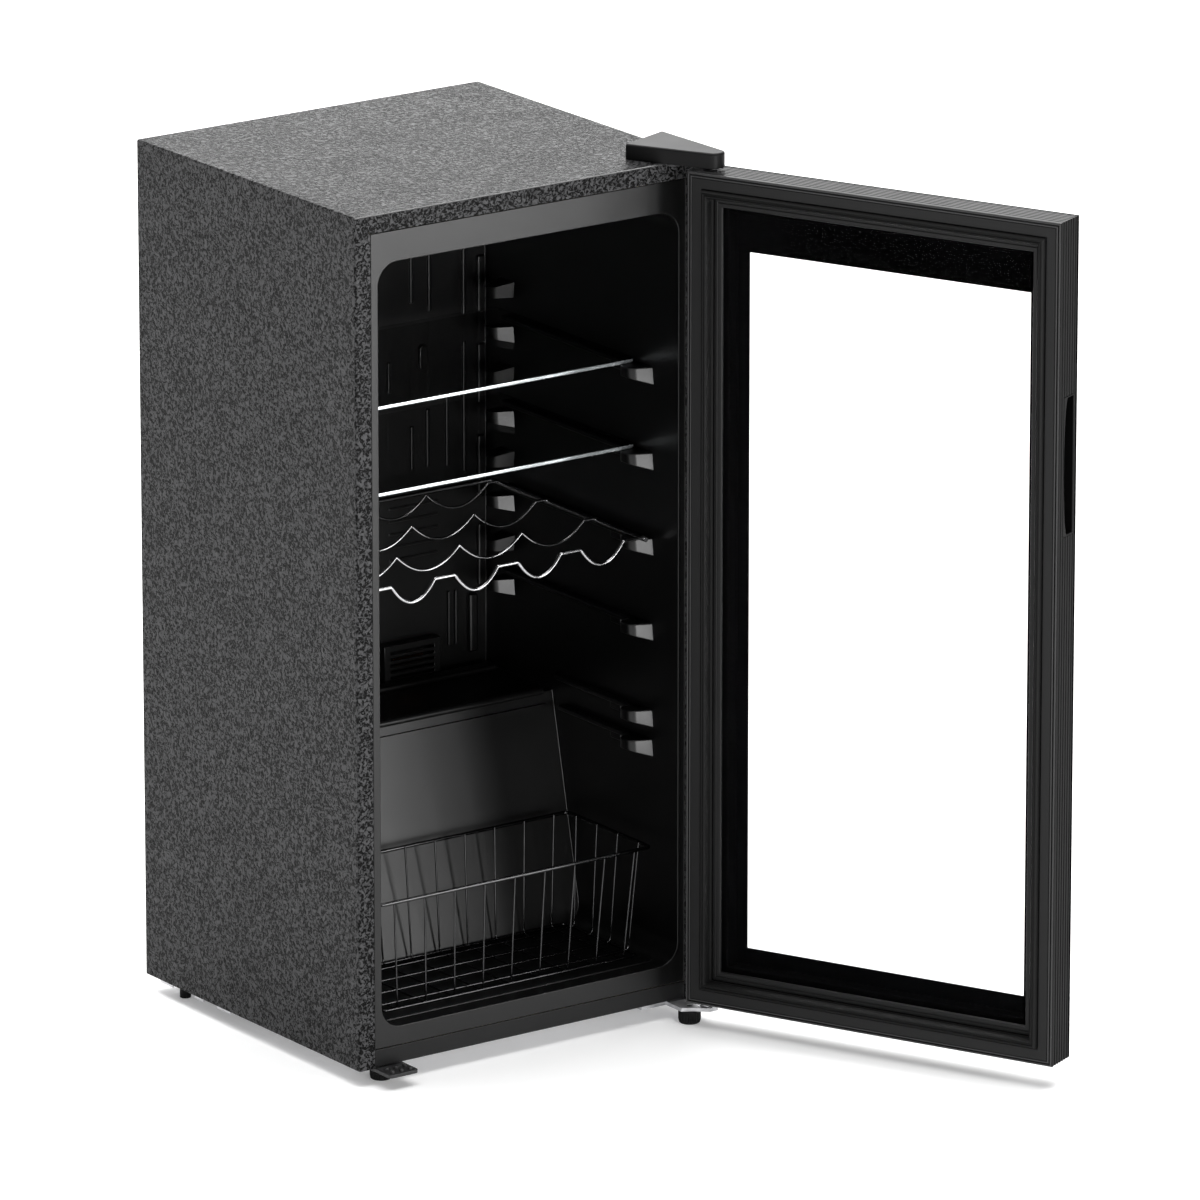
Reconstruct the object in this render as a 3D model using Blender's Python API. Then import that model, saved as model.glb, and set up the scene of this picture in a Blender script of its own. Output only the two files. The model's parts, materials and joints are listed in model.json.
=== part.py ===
# Compressor wine cooler with a glass door, built from its separate pieces.
# Metres, +Z up. Pieces are drawn in the cabinet's own frame (x from the left side, y from the
# front face to the back, z from the lower edge of the steel shell), the door is drawn closed,
# and empties place everything: origin at the middle of the bounding box, on the floor.
import bpy
import bmesh
from math import cos, pi, radians, sin
from mathutils import Matrix, Vector

for old in list(bpy.data.objects):
    bpy.data.objects.remove(old)

# ---- driving dimensions ----
WIDTH = 0.430
DEPTH = 0.398
HEIGHT = 0.905
FOOT_DROP = 0.018
SHEET = 0.0012
GAP = 0.0003
FLANGE = 0.019
SILL = 0.020
LINER_WALL = 0.002
CAVITY_SIDE = 0.028
CAVITY_TOP = 0.052
CAVITY_FLOOR = 0.041
BACK_FOAM = 0.051
CAVITY_RADIUS = 0.024

HUMP_TOP = 0.284
HUMP_TOP_RUN = 0.121
HUMP_FOOT_RUN = 0.174
FOAM_THICK = 0.040

FIRST_RAIL_DROP = 0.177
RAIL_PITCH = 0.092
RAIL_LEVELS = 4
STEP_RAIL_OFFSETS = (0.022, -0.010)
RAIL_NAMED = {"shelf_upper": 0, "shelf_lower": 1, "wine_rack": 2}
LUG_REACH = 0.023
LUG_HEIGHT = 0.019
LUG_TIP_HEIGHT = 0.011
LUG_FRONT_Y = 0.044
LUG_LENGTH = 0.032
HOLDER_BACK = 0.053
HOLDER_LENGTH = 0.026
HOLDER_UP = 0.020
HOLDER_DOWN = 0.012
LEDGE_REACH = 0.009
LEDGE_HEIGHT = 0.005
STOP_Y = 0.094
STOP_LENGTH = 0.020
STOP_REACH = 0.006
STOP_HEIGHT = 0.013

DOOR_OPEN = radians(115)
DOOR_GAP = 0.005
DOOR_THICK = 0.040
DOOR_BOTTOM = 0.008
DOOR_TOP_DROP = 0.003
DOOR_BAND = 0.017
GROOVE = 0.009
GROOVE_DEEP = 0.014
RECESS = 0.0095
LIP = 0.010
LIP_THICK = 0.003
PANE = 0.0036
INNER_PANE = 0.0032
SPACER = 0.010
GASKET_PROUD = 0.0046
PIVOT_IN = 0.0118
PIVOT_FROM_FACE = 0.0157

GRIP_LOW = 0.570
GRIP_HIGH = 0.718
GRIP_DEEP = 0.013
GRIP_FROM = 0.011
GRIP_FROM_FACE = 0.006
GRIP_WALL = 0.0015

PIN_R = 0.004
BUSH_R = 0.007
BUSH_DEEP = 0.015
RUN_CLEAR = 0.0003
PLATE = 0.0025
COVER_HEIGHT = 0.0165
FOOT_R = 0.012
STEM_R = 0.003
BRACKET = 0.004

SHELF_CLEAR = 0.0008
SHELF_FRONT_Y = 0.072
SHELF_BACK = 0.019
SHELF_GLASS = 0.004
SHELF_CORNER = 0.010
RAIL_R = 0.0025
WIRE_R = 0.0015
RACK_CLEAR = 0.014
RACK_FRONT_Y = 0.040
RACK_BACK = 0.025
RACK_PITCH = 0.079
RACK_DIP = 0.020
RACK_FRONT_WIRE_R = 0.002
RACK_FLAT_CREST = 0.32
BASKET_SIDE = 0.014
BASKET_FRONT_Y = 0.024
BASKET_BACK = 0.005
BASKET_RIM = 0.167
BASKET_WALL = 0.0025
BASKET_TAPER = 0.012

TRAY_SHEET = 0.0015
TRAY_FLANGE = 0.0085
COMPRESSOR_R = 0.062
CONDENSER_STAND = 0.016
CONDENSER_TUBE_R = 0.0025
CONDENSER_ROWS = 9

# ---- values that follow ----
CAVITY_LEFT = CAVITY_SIDE
CAVITY_RIGHT = WIDTH - CAVITY_SIDE
CAVITY_HIGH = HEIGHT - CAVITY_TOP
CAVITY_BACK = DEPTH - BACK_FOAM
HUMP_TOP_Y = CAVITY_BACK - HUMP_TOP_RUN
HUMP_FOOT_Y = CAVITY_BACK - HUMP_FOOT_RUN
HOLDER_Y = CAVITY_BACK - HOLDER_BACK
SHELF_REAR_Y = CAVITY_BACK - SHELF_BACK
RACK_REAR_Y = CAVITY_BACK - RACK_BACK
RACK_LEFT = CAVITY_LEFT + RACK_CLEAR
RACK_RIGHT = CAVITY_RIGHT - RACK_CLEAR
BASKET_REAR_Y = HUMP_FOOT_Y + BASKET_BACK
RAIL_TOP = [CAVITY_HIGH - FIRST_RAIL_DROP - level * RAIL_PITCH for level in range(RAIL_LEVELS)]
RAIL_TOP += [HUMP_TOP + offset for offset in STEP_RAIL_OFFSETS]
DOOR_TOP = HEIGHT - DOOR_TOP_DROP
DOOR_INNER_Y = -DOOR_GAP
DOOR_OUTER_Y = DOOR_INNER_Y - DOOR_THICK
PIVOT = Vector((WIDTH - PIVOT_IN, DOOR_OUTER_Y + PIVOT_FROM_FACE, 0))
GRIP_TO = DOOR_THICK - GRIP_FROM_FACE
CONDENSER_BACK = DEPTH + CONDENSER_STAND + CONDENSER_TUBE_R + 2 * WIRE_R


def opened(x, y):
    """Where a point of the closed door stands with the door open, in the cabinet's frame."""
    dx, dy = x - PIVOT.x, y - PIVOT.y
    turned_x = PIVOT.x + dx * cos(DOOR_OPEN) - dy * sin(DOOR_OPEN)
    turned_y = PIVOT.y + dx * sin(DOOR_OPEN) + dy * cos(DOOR_OPEN)
    return turned_x, turned_y


door_corners = [opened(x, y) for x in (0, WIDTH) for y in (DOOR_INNER_Y, DOOR_OUTER_Y)]
BOX_RIGHT = max([WIDTH] + [corner[0] for corner in door_corners])
BOX_FRONT = min([0] + [corner[1] for corner in door_corners])
ORIGIN = Vector((-BOX_RIGHT / 2, -(BOX_FRONT + CONDENSER_BACK) / 2, FOOT_DROP))

parts = bpy.data.collections.new("wine_cooler")
cutters = bpy.data.collections.new("cutters")
bpy.context.scene.collection.children.link(parts)
bpy.context.scene.collection.children.link(cutters)


def empty(name, place, parent=None):
    """An empty on a joint's axis or at a frame's origin; place is in the cabinet's frame."""
    guide = bpy.data.objects.new(name, None)
    parts.objects.link(guide)
    guide.parent = parent
    guide.location = place
    guide["place"] = tuple(place)
    return guide


cabinet_frame = empty("cabinet_frame", ORIGIN)


# ---- materials ----
def finish(name, colour, roughness, metallic=0.0, alpha=1.0):
    material = bpy.data.materials.new(name)
    material.use_nodes = True
    shader = material.node_tree.nodes["Principled BSDF"]
    shader.inputs["Base Color"].default_value = (*colour, 1)
    shader.inputs["Roughness"].default_value = roughness
    shader.inputs["Metallic"].default_value = metallic
    shader.inputs["Alpha"].default_value = alpha
    material.diffuse_color = (*colour, alpha)
    return material


FINISHES = {
    "hammered_paint": finish("hammered_paint", (0.035, 0.035, 0.037), 0.42),
    "black_plastic": finish("black_plastic", (0.012, 0.012, 0.013), 0.38),
    "gloss_plastic": finish("gloss_plastic", (0.008, 0.008, 0.009), 0.18),
    "liner_plastic": finish("liner_plastic", (0.010, 0.010, 0.011), 0.34),
    "galvanised": finish("galvanised", (0.55, 0.56, 0.57), 0.38, 0.9),
    "chrome": finish("chrome", (0.75, 0.76, 0.78), 0.12, 1.0),
    "black_steel": finish("black_steel", (0.015, 0.015, 0.016), 0.35, 0.3),
    "copper": finish("copper", (0.72, 0.36, 0.22), 0.3, 1.0),
    "aluminium": finish("aluminium", (0.62, 0.63, 0.64), 0.35, 1.0),
    "clear_glass": finish("clear_glass", (0.75, 0.80, 0.80), 0.03, 0.0, 0.25),
    "rubber": finish("rubber", (0.014, 0.014, 0.014), 0.7),
    "foam": finish("foam", (0.78, 0.70, 0.45), 0.85),
    "lamp_plastic": finish("lamp_plastic", (0.85, 0.87, 0.90), 0.3, 0.0, 0.8),
}


# ---- making pieces ----
def keep(mesh, name, slot, parent=cabinet_frame, smooth=None):
    """A named piece in the parts collection; its mesh is moved into its parent's frame."""
    piece = bpy.data.objects.new(name, mesh)
    mesh.name = name
    parts.objects.link(piece)
    piece.parent = parent
    if parent is not cabinet_frame:
        mesh.transform(Matrix.Translation(-Vector(parent["place"])))
    mesh.materials.clear()
    mesh.materials.append(FINISHES[slot])
    if smooth:
        mesh.shade_smooth()
        mesh.set_sharp_from_angle(angle=radians(smooth))
    return piece


def scratch(mesh):
    """A helper object for a Boolean."""
    helper = bpy.data.objects.new("cutter", mesh)
    helper.hide_render = True
    helper.display_type = "WIRE"
    cutters.objects.link(helper)
    return helper


def to_mesh(bm):
    bmesh.ops.recalc_face_normals(bm, faces=bm.faces)
    mesh = bpy.data.meshes.new("shape")
    bm.to_mesh(mesh)
    bm.free()
    return mesh


def box(low, high):
    bm = bmesh.new()
    bmesh.ops.create_cube(bm, size=1)
    low, high = Vector(low), Vector(high)
    size = high - low
    bmesh.ops.scale(bm, vec=size, verts=bm.verts)
    bmesh.ops.translate(bm, vec=(low + high) / 2, verts=bm.verts)
    return to_mesh(bm)


TURNS = {"x": Matrix.Rotation(pi / 2, 4, "Y"), "y": Matrix.Rotation(-pi / 2, 4, "X"),
         "z": Matrix.Identity(4)}


def rod(centre, axis, radius, length, sides=16, tip=None):
    """A cylinder, or a cone when a tip radius is given, centred on a point along an axis."""
    bm = bmesh.new()
    end = radius if tip is None else tip
    bmesh.ops.create_cone(bm, cap_ends=True, segments=sides, radius1=radius, radius2=end,
                          depth=length)
    bmesh.ops.transform(bm, matrix=TURNS[axis], verts=bm.verts)
    bmesh.ops.translate(bm, vec=centre, verts=bm.verts)
    return to_mesh(bm)


def prism(outline, axis, low, high):
    """A flat outline pushed along an axis. The outline holds the two other coordinates in order."""
    bm = bmesh.new()
    ends = []
    for at in (low, high):
        points = {"x": [(at, a, b) for a, b in outline],
                  "y": [(a, at, b) for a, b in outline],
                  "z": [(a, b, at) for a, b in outline]}[axis]
        ends.append([bm.verts.new(point) for point in points])
    bm.faces.new(ends[0])
    bm.faces.new(reversed(ends[1]))
    count = len(outline)
    for i in range(count):
        j = (i + 1) % count
        bm.faces.new((ends[0][i], ends[1][i], ends[1][j], ends[0][j]))
    bmesh.ops.triangulate(bm, faces=[f for f in bm.faces if len(f.verts) > 4])
    return to_mesh(bm)


def rounded(low_a, low_b, high_a, high_b, radius, steps=5):
    """A rectangle's outline with round corners."""
    outline = []
    centres = ((high_a - radius, high_b - radius, 0), (low_a + radius, high_b - radius, 90),
               (low_a + radius, low_b + radius, 180), (high_a - radius, low_b + radius, 270))
    for a, b, start in centres:
        for i in range(steps + 1):
            angle = radians(start + 90 * i / steps)
            outline.append((a + radius * cos(angle), b + radius * sin(angle)))
    return outline


def boolean(mesh, others, operation):
    """One mesh with others cut from it or joined to it, by the exact solver."""
    base = scratch(mesh)
    for other in others:
        step = base.modifiers.new("step", "BOOLEAN")
        step.operation = operation
        step.solver = "EXACT"
        step.object = scratch(other)
    graph = bpy.context.evaluated_depsgraph_get()
    result = bpy.data.meshes.new_from_object(base.evaluated_get(graph))
    for step in list(base.modifiers):
        helper = step.object
        base.modifiers.remove(step)
        bpy.data.objects.remove(helper)
    bpy.data.objects.remove(base)
    bm = bmesh.new()
    bm.from_mesh(result)
    bmesh.ops.remove_doubles(bm, verts=bm.verts, dist=1e-6)
    bm.to_mesh(result)
    bm.free()
    return result


def cut(mesh, *others):
    return boolean(mesh, others, "DIFFERENCE")


def join(mesh, *others):
    return boolean(mesh, others, "UNION")


def picture_frame(profile, low_x, low_z, high_x, high_z, face_y):
    """A closed profile of (distance in from the edge, depth behind face_y) swept round a
    rectangle with mitred corners. Depth runs towards the front, -Y."""
    bm = bmesh.new()
    loops = []
    for edge, deep in profile:
        y = face_y - deep
        ring = ((low_x + edge, low_z + edge), (high_x - edge, low_z + edge),
                (high_x - edge, high_z - edge), (low_x + edge, high_z - edge))
        loops.append([bm.verts.new((x, y, z)) for x, z in ring])
    for i, loop in enumerate(loops):
        after = loops[(i + 1) % len(loops)]
        for k in range(4):
            m = (k + 1) % 4
            bm.faces.new((loop[k], loop[m], after[m], after[k]))
    return to_mesh(bm)


def wire(points, radius, sides=6, closed=False):
    """A round wire along points, as a curve turned into a welded mesh."""
    curve = bpy.data.curves.new("wire", "CURVE")
    curve.dimensions = "3D"
    curve.bevel_depth = radius
    curve.bevel_resolution = max(0, (sides - 4) // 2)
    curve.use_fill_caps = True
    spline = curve.splines.new("POLY")
    spline.points.add(len(points) - 1)
    for spot, point in zip(spline.points, points):
        spot.co = (*point, 1)
    spline.use_cyclic_u = closed
    guide = bpy.data.objects.new("wire", curve)
    cutters.objects.link(guide)
    graph = bpy.context.evaluated_depsgraph_get()
    mesh = bpy.data.meshes.new_from_object(guide.evaluated_get(graph))
    bpy.data.objects.remove(guide)
    bm = bmesh.new()
    bm.from_mesh(mesh)
    bmesh.ops.remove_doubles(bm, verts=bm.verts, dist=1e-6)
    bmesh.ops.recalc_face_normals(bm, faces=bm.faces)
    bm.to_mesh(mesh)
    bm.free()
    return mesh


def bundle(meshes):
    """Several separate shapes as one mesh, to cut or join in a single step."""
    bm = bmesh.new()
    for mesh in meshes:
        bm.from_mesh(mesh)
    return to_mesh(bm)


def turned(profile, x, y, sides=20):
    """A solid turned about a vertical axis from (radius, height) points, pole to pole."""
    bm = bmesh.new()
    rings = []
    for radius, z in profile:
        if radius == 0:
            rings.append([bm.verts.new((x, y, z))])
            continue
        turns = [2 * pi * k / sides for k in range(sides)]
        rings.append([bm.verts.new((x + radius * cos(a), y + radius * sin(a), z)) for a in turns])
    for lower, upper in zip(rings, rings[1:]):
        for k in range(sides):
            m = (k + 1) % sides
            corners = [lower[k % len(lower)], lower[m % len(lower)],
                       upper[m % len(upper)], upper[k % len(upper)]]
            bm.faces.new(list(dict.fromkeys(corners)))
    return to_mesh(bm)


def frustum(low, high, low_z, high_z):
    """A tapered block between two rectangles, each (left, front, right, back)."""
    bm = bmesh.new()
    for (left, front, right, back), z in ((low, low_z), (high, high_z)):
        for point in ((left, front), (right, front), (right, back), (left, back)):
            bm.verts.new((*point, z))
    bmesh.ops.convex_hull(bm, input=bm.verts)
    return to_mesh(bm)


def inset(outline, distance):
    """A convex outline with every edge moved inward."""
    points = [Vector(point) for point in outline]
    area = sum(a.cross(b) for a, b in zip(points, points[1:] + points[:1]))
    side = 1 if area > 0 else -1
    moved = []
    for i, here in enumerate(points):
        before = (here - points[i - 1]).normalized()
        after = (points[(i + 1) % len(points)] - here).normalized()
        normal_a = Vector((-before.y, before.x)) * side
        normal_b = Vector((-after.y, after.x)) * side
        middle = (normal_a + normal_b).normalized()
        moved.append(tuple(here + middle * distance / middle.dot(normal_a)))
    return moved


def other_side(meshes):
    """The same shapes mirrored to the cabinet's right side."""
    flip = Matrix.Translation((WIDTH, 0, 0)) @ Matrix.Scale(-1, 4, (1, 0, 0))
    turned_over = []
    for mesh in meshes:
        copy = mesh.copy()
        copy.transform(flip)
        copy.flip_normals()
        turned_over.append(copy)
    return turned_over


# ---- the cavity's section, shared by the liner, the foam and the sheet under them ----
SLOPE_RISE = HUMP_TOP - CAVITY_FLOOR
SLOPE_RUN = HUMP_TOP_Y - HUMP_FOOT_Y
SLOPE_LEAN = SLOPE_RISE / (SLOPE_RISE ** 2 + SLOPE_RUN ** 2) ** 0.5
BASE_LOW = 0.0018
BASE_HIGH = HUMP_TOP - FOAM_THICK


def slope_y(z, away=0):
    """Depth of the hump's sloping face at a height, moved away from the cavity."""
    return HUMP_FOOT_Y + (z - CAVITY_FLOOR) * SLOPE_RUN / SLOPE_RISE + away / SLOPE_LEAN


def cavity_solid(grown, front):
    """The storage space as a solid, grown on every wall, with round corners seen from the front."""
    low, step, high = CAVITY_FLOOR - grown, HUMP_TOP - grown, CAVITY_HIGH + grown
    back = CAVITY_BACK + grown
    section = [(front, low), (slope_y(low, grown), low), (slope_y(step, grown), step),
               (back, step), (back, high), (front, high)]
    body = prism(section, "x", CAVITY_LEFT - grown, CAVITY_RIGHT + grown)
    outline = rounded(CAVITY_LEFT - grown, low, CAVITY_RIGHT + grown, high,
                      CAVITY_RADIUS + grown)
    return boolean(body, [prism(outline, "y", front - 0.01, back + 0.01)], "INTERSECT")


# ---- cabinet ----
def outer_shell():
    block = box((0, 0, 0), (WIDTH, DEPTH, HEIGHT))
    room = box((SHEET, SHEET, -1), (WIDTH - SHEET, DEPTH + 1, HEIGHT - SHEET))
    doorway = box((FLANGE, -1, -1), (WIDTH - FLANGE, SHEET + 0.01, HEIGHT - FLANGE))
    keep(cut(block, room, doorway), "outer_shell", "hammered_paint")


def wall_shapes():
    """Moulded supports of the left wall: front lugs and rear holders, ledges, locating nubs."""
    wall, root = CAVITY_LEFT, CAVITY_LEFT - LINER_WALL / 2
    tip = wall + LUG_REACH
    blocks, ledges, stops = [], [], []
    for top in RAIL_TOP:
        lug = [(root, top), (tip, top), (tip, top - LUG_TIP_HEIGHT), (root, top - LUG_HEIGHT)]
        blocks.append(prism(lug, "y", LUG_FRONT_Y, LUG_FRONT_Y + LUG_LENGTH))
        held = top - HOLDER_DOWN - LUG_HEIGHT > HUMP_TOP
        ledge_end = HOLDER_Y + HOLDER_LENGTH / 2 if held else slope_y(top) - 0.02
        ledges.append(box((root, LUG_FRONT_Y + LUG_LENGTH / 2, top - LEDGE_HEIGHT),
                          (wall + LEDGE_REACH, ledge_end, top)))
        stops.append(box((root, STOP_Y, top - STOP_HEIGHT),
                         (wall + STOP_REACH, STOP_Y + STOP_LENGTH, top - GAP)))
        if not held:
            continue
        above, below = top + HOLDER_UP, top - HOLDER_DOWN
        upper = [(root, above), (tip, above), (tip, above + LUG_TIP_HEIGHT),
                 (root, above + LUG_HEIGHT - 0.002)]
        lower = [(root, below), (tip, below), (tip, below - LUG_TIP_HEIGHT),
                 (root, below - LUG_HEIGHT + 0.002)]
        for outline in (upper, lower):
            blocks.append(prism(outline, "y", HOLDER_Y, HOLDER_Y + HOLDER_LENGTH))
    return blocks, ledges, stops


def inner_liner():
    rim = box((FLANGE + GAP, 0, SILL + GAP),
              (WIDTH - FLANGE - GAP, LINER_WALL, HEIGHT - FLANGE - GAP))
    mesh = join(cavity_solid(LINER_WALL, 0.0005), rim)
    mesh = cut(mesh, cavity_solid(0, -0.02))
    for shapes in wall_shapes():
        mesh = join(mesh, bundle(shapes + other_side(shapes)))
    keep(mesh, "inner_liner", "liner_plastic")


def foam_insulation():
    front, back = LINER_WALL + GAP, DEPTH - SHEET - GAP
    low, step = BASE_LOW + GAP, BASE_HIGH + GAP
    behind = FOAM_THICK - GAP
    section = [(front, low), (slope_y(low, behind), low), (slope_y(step, behind), step),
               (back, step), (back, HEIGHT - SHEET - GAP), (front, HEIGHT - SHEET - GAP)]
    block = prism(section, "x", SHEET + GAP, WIDTH - SHEET - GAP)
    left, low_z, right, high_z, near, far = EVAPORATOR
    pocket = box((left - GAP, near - 0.002, low_z - GAP), (right + GAP, far + GAP, high_z + GAP))
    mesh = cut(block, cavity_solid(LINER_WALL + GAP, -0.02), pocket)
    keep(mesh, "foam_insulation", "foam")


EVAPORATOR = (CAVITY_LEFT + 0.032, HUMP_TOP + 0.046, CAVITY_RIGHT - 0.032, CAVITY_HIGH - 0.053,
              CAVITY_BACK + LINER_WALL + GAP, CAVITY_BACK + LINER_WALL + GAP + 0.0015)


def sheets():
    back = DEPTH - SHEET - GAP
    under = FOAM_THICK + SHEET
    low, high = BASE_LOW - SHEET, BASE_HIGH - SHEET
    section = [(LINER_WALL + GAP, BASE_LOW), (slope_y(BASE_LOW, FOAM_THICK), BASE_LOW),
               (slope_y(BASE_HIGH, FOAM_THICK), BASE_HIGH), (back, BASE_HIGH), (back, high),
               (slope_y(high, under), high), (slope_y(low, under), low), (LINER_WALL + GAP, low)]
    keep(prism(section, "x", SHEET + GAP, WIDTH - SHEET - GAP), "base_plate", "galvanised")
    keep(box((SHEET + GAP, DEPTH - SHEET, high), (WIDTH - SHEET - GAP, DEPTH,
                                                 HEIGHT - SHEET - GAP)),
         "back_panel", "black_steel")
    keep(box((FLANGE + GAP, 0, BASE_LOW - GAP), (WIDTH - FLANGE - GAP, LINER_WALL, SILL)),
         "front_apron", "black_plastic")
    left, low_z, right, high_z, near, far = EVAPORATOR
    keep(box((left, near, low_z), (right, far, high_z)), "evaporator_plate", "aluminium")


# ---- inside the cavity ----
SENSOR_WIDE = 0.072
SENSOR_LEFT = CAVITY_RIGHT - 0.068 - SENSOR_WIDE
SENSOR_LOW = HUMP_TOP + 0.004
SENSOR_TALL = 0.040
SENSOR_DEEP = 0.013
SENSOR_WALL = 0.0015
SENSOR_SLATS = 5


def sensor_cover():
    left, right = SENSOR_LEFT, SENSOR_LEFT + SENSOR_WIDE
    low, high = SENSOR_LOW, SENSOR_LOW + SENSOR_TALL
    back, front = CAVITY_BACK - GAP, CAVITY_BACK - SENSOR_DEEP
    inner = box((left + SENSOR_WALL, front + SENSOR_WALL, low + SENSOR_WALL),
                (right - SENSOR_WALL, back + 0.01, high - SENSOR_WALL))
    pitch = (SENSOR_TALL - 2 * SENSOR_WALL) / (SENSOR_SLATS + 0.5)
    slots = []
    for i in range(SENSOR_SLATS):
        z = low + 2 * SENSOR_WALL + i * pitch
        slots.append(box((left + 0.008, front - 0.01, z), (right - 0.008, front + 0.006,
                                                          z + pitch * 0.45)))
    mesh = cut(box((left, front, low), (right, back, high)), inner, bundle(slots))
    keep(mesh, "sensor_cover", "liner_plastic")
    middle = (left + right) / 2
    bulb = rod((middle, CAVITY_BACK - 0.0055, (low + high) / 2), "x", 0.003, 0.036, 12)
    keep(bulb, "temperature_sensor", "copper", smooth=40)


HOUSING_WIDE = 0.180
HOUSING_FRONT = 0.100
HOUSING_DEEP = 0.125
HOUSING_TALL = 0.028
HOUSING_WALL = 0.002
CONTROL_SPREAD = 0.045
KNOB_R = 0.011
KNOB_DEEP = 0.010
SHAFT_R = 0.003
SHAFT_DEEP = 0.008
THERMOSTAT = (0.032, 0.026, 0.020)
ROCKER = (0.018, 0.012, 0.008)
ROCKER_OUT = 0.003
ROCKER_ROOM = 0.0015
LENS = (0.076, 0.050, 0.0035)
LENS_RIM = 0.003
LAMP_BOARD = (0.060, 0.034, 0.0016)


def centred(middle, size, grow=0):
    """A box about a point, from its three sizes."""
    half = Vector(size) / 2 + Vector((grow, grow, grow))
    return box(Vector(middle) - half, Vector(middle) + half)


def controls():
    middle, front = WIDTH / 2, HOUSING_FRONT
    low, high = CAVITY_HIGH - HOUSING_TALL, CAVITY_HIGH - GAP
    centre_z = (low + high) / 2
    half, back, wall = HOUSING_WIDE / 2, front + HOUSING_DEEP, HOUSING_WALL
    knob_x, rocker_x = middle + CONTROL_SPREAD, middle - CONTROL_SPREAD
    lens_y = front + HOUSING_DEEP / 2
    body = box((middle - half, front, low), (middle + half, back, high))
    hollow = box((middle - half + wall, front + wall, low + wall),
                 (middle + half - wall, back - wall, high + wall))
    slot = centred((rocker_x, front, centre_z), ROCKER, ROCKER_ROOM)
    shaft_hole = rod((knob_x, front, centre_z), "y", SHAFT_R + GAP, 3 * wall, 16)
    window = centred((middle, lens_y, low), LENS, GAP)
    keep(cut(body, hollow, bundle([slot, shaft_hole, window])), "control_housing",
         "black_plastic")
    pane = box((middle - LENS[0] / 2, lens_y - LENS[1] / 2, low),
               (middle + LENS[0] / 2, lens_y + LENS[1] / 2, low + LENS[2]))
    rim = box((middle - LENS[0] / 2 - LENS_RIM, lens_y - LENS[1] / 2 - LENS_RIM,
               low + wall + GAP),
              (middle + LENS[0] / 2 + LENS_RIM, lens_y + LENS[1] / 2 + LENS_RIM,
               low + LENS[2] + GAP))
    keep(join(pane, rim), "lamp_lens", "lamp_plastic")
    keep(centred((middle, lens_y, high - LAMP_BOARD[2] / 2), LAMP_BOARD), "lamp_board",
         "galvanised")
    thermostat_y = front + SHAFT_DEEP + GAP + THERMOSTAT[1] / 2
    keep(centred((knob_x, thermostat_y, high - THERMOSTAT[2] / 2), THERMOSTAT),
         "thermostat_body", "galvanised")
    knob_at = Vector((knob_x, front - GAP - KNOB_DEEP / 2, centre_z))
    knob_axis = empty("thermostat_axis", knob_at, cabinet_frame)
    dial = rod(knob_at, "y", KNOB_R, KNOB_DEEP, 20)
    grip = centred(knob_at - Vector((0, KNOB_DEEP / 2, 0)), (0.004, 0.008, 1.8 * KNOB_R))
    shaft = rod((knob_x, front - KNOB_DEEP / 2 + SHAFT_DEEP / 2, centre_z), "y", SHAFT_R,
                SHAFT_DEEP + KNOB_DEEP, 16)
    keep(join(dial, grip, shaft), "thermostat_knob", "black_plastic", knob_axis, 35)
    rocker_axis = empty("rocker_axis", (rocker_x, front + HOUSING_WALL, centre_z),
                        cabinet_frame)
    keep(centred((rocker_x, front - ROCKER_OUT + ROCKER[1] / 2, centre_z), ROCKER),
         "light_rocker", "gloss_plastic", rocker_axis)


def glass_shelf(name):
    low = RAIL_TOP[RAIL_NAMED[name]] + GAP
    slide = empty(name + "_slide", (WIDTH / 2, SHELF_FRONT_Y, low), cabinet_frame)
    outline = rounded(CAVITY_LEFT + SHELF_CLEAR, SHELF_FRONT_Y, CAVITY_RIGHT - SHELF_CLEAR,
                      SHELF_REAR_Y, SHELF_CORNER)
    keep(prism(outline, "z", low, low + SHELF_GLASS), name, "clear_glass", slide)


RACK_ROWS = 4
RACK_BARE = 0.020
RACK_BAR_IN = 0.004
WAVE_STEPS = 8


def wave_points(y, z, flat):
    """A wire across the rack that dips under each bottle; flat is the crest's share of a pitch."""
    middle = (RACK_LEFT + RACK_RIGHT) / 2
    dips = 2 * int((RACK_RIGHT - RACK_LEFT) / RACK_PITCH / 2)
    span = RACK_PITCH * (1 - flat)
    points = [(RACK_LEFT, y, z)]
    for dip in range(dips):
        start = middle + (dip - dips / 2) * RACK_PITCH + (RACK_PITCH - span) / 2
        for step in range(WAVE_STEPS + 1):
            share = step / WAVE_STEPS
            if flat or step or not dip:
                points.append((start + share * span, y, z - 4 * RACK_DIP * share * (1 - share)))
    points.append((RACK_RIGHT, y, z))
    return points


def wine_rack():
    z = RAIL_TOP[RAIL_NAMED["wine_rack"]] + GAP + RAIL_R
    slide = empty("wine_rack_slide", (WIDTH / 2, RACK_FRONT_Y, z), cabinet_frame)
    rails = [wire([(x, RACK_FRONT_Y - 0.003, z), (x, RACK_REAR_Y, z)], RAIL_R)
             for x in (RACK_LEFT, RACK_RIGHT)]
    spacing = (RACK_REAR_Y - RACK_BARE - RACK_FRONT_Y) / (RACK_ROWS - 1)
    waves = [wire(wave_points(RACK_FRONT_Y, z + RAIL_R, RACK_FLAT_CREST), RACK_FRONT_WIRE_R)]
    waves += [wire(wave_points(RACK_FRONT_Y + row * spacing, z + RAIL_R, 0), WIRE_R)
              for row in range(1, RACK_ROWS)]
    bar_y = RACK_REAR_Y - RACK_BAR_IN
    bar = wire([(RACK_LEFT, bar_y, z), (RACK_RIGHT, bar_y, z)], RAIL_R)
    keep(join(bundle(rails), bar, bundle(waves)), "wine_rack", "chrome", slide, 50)


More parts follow.
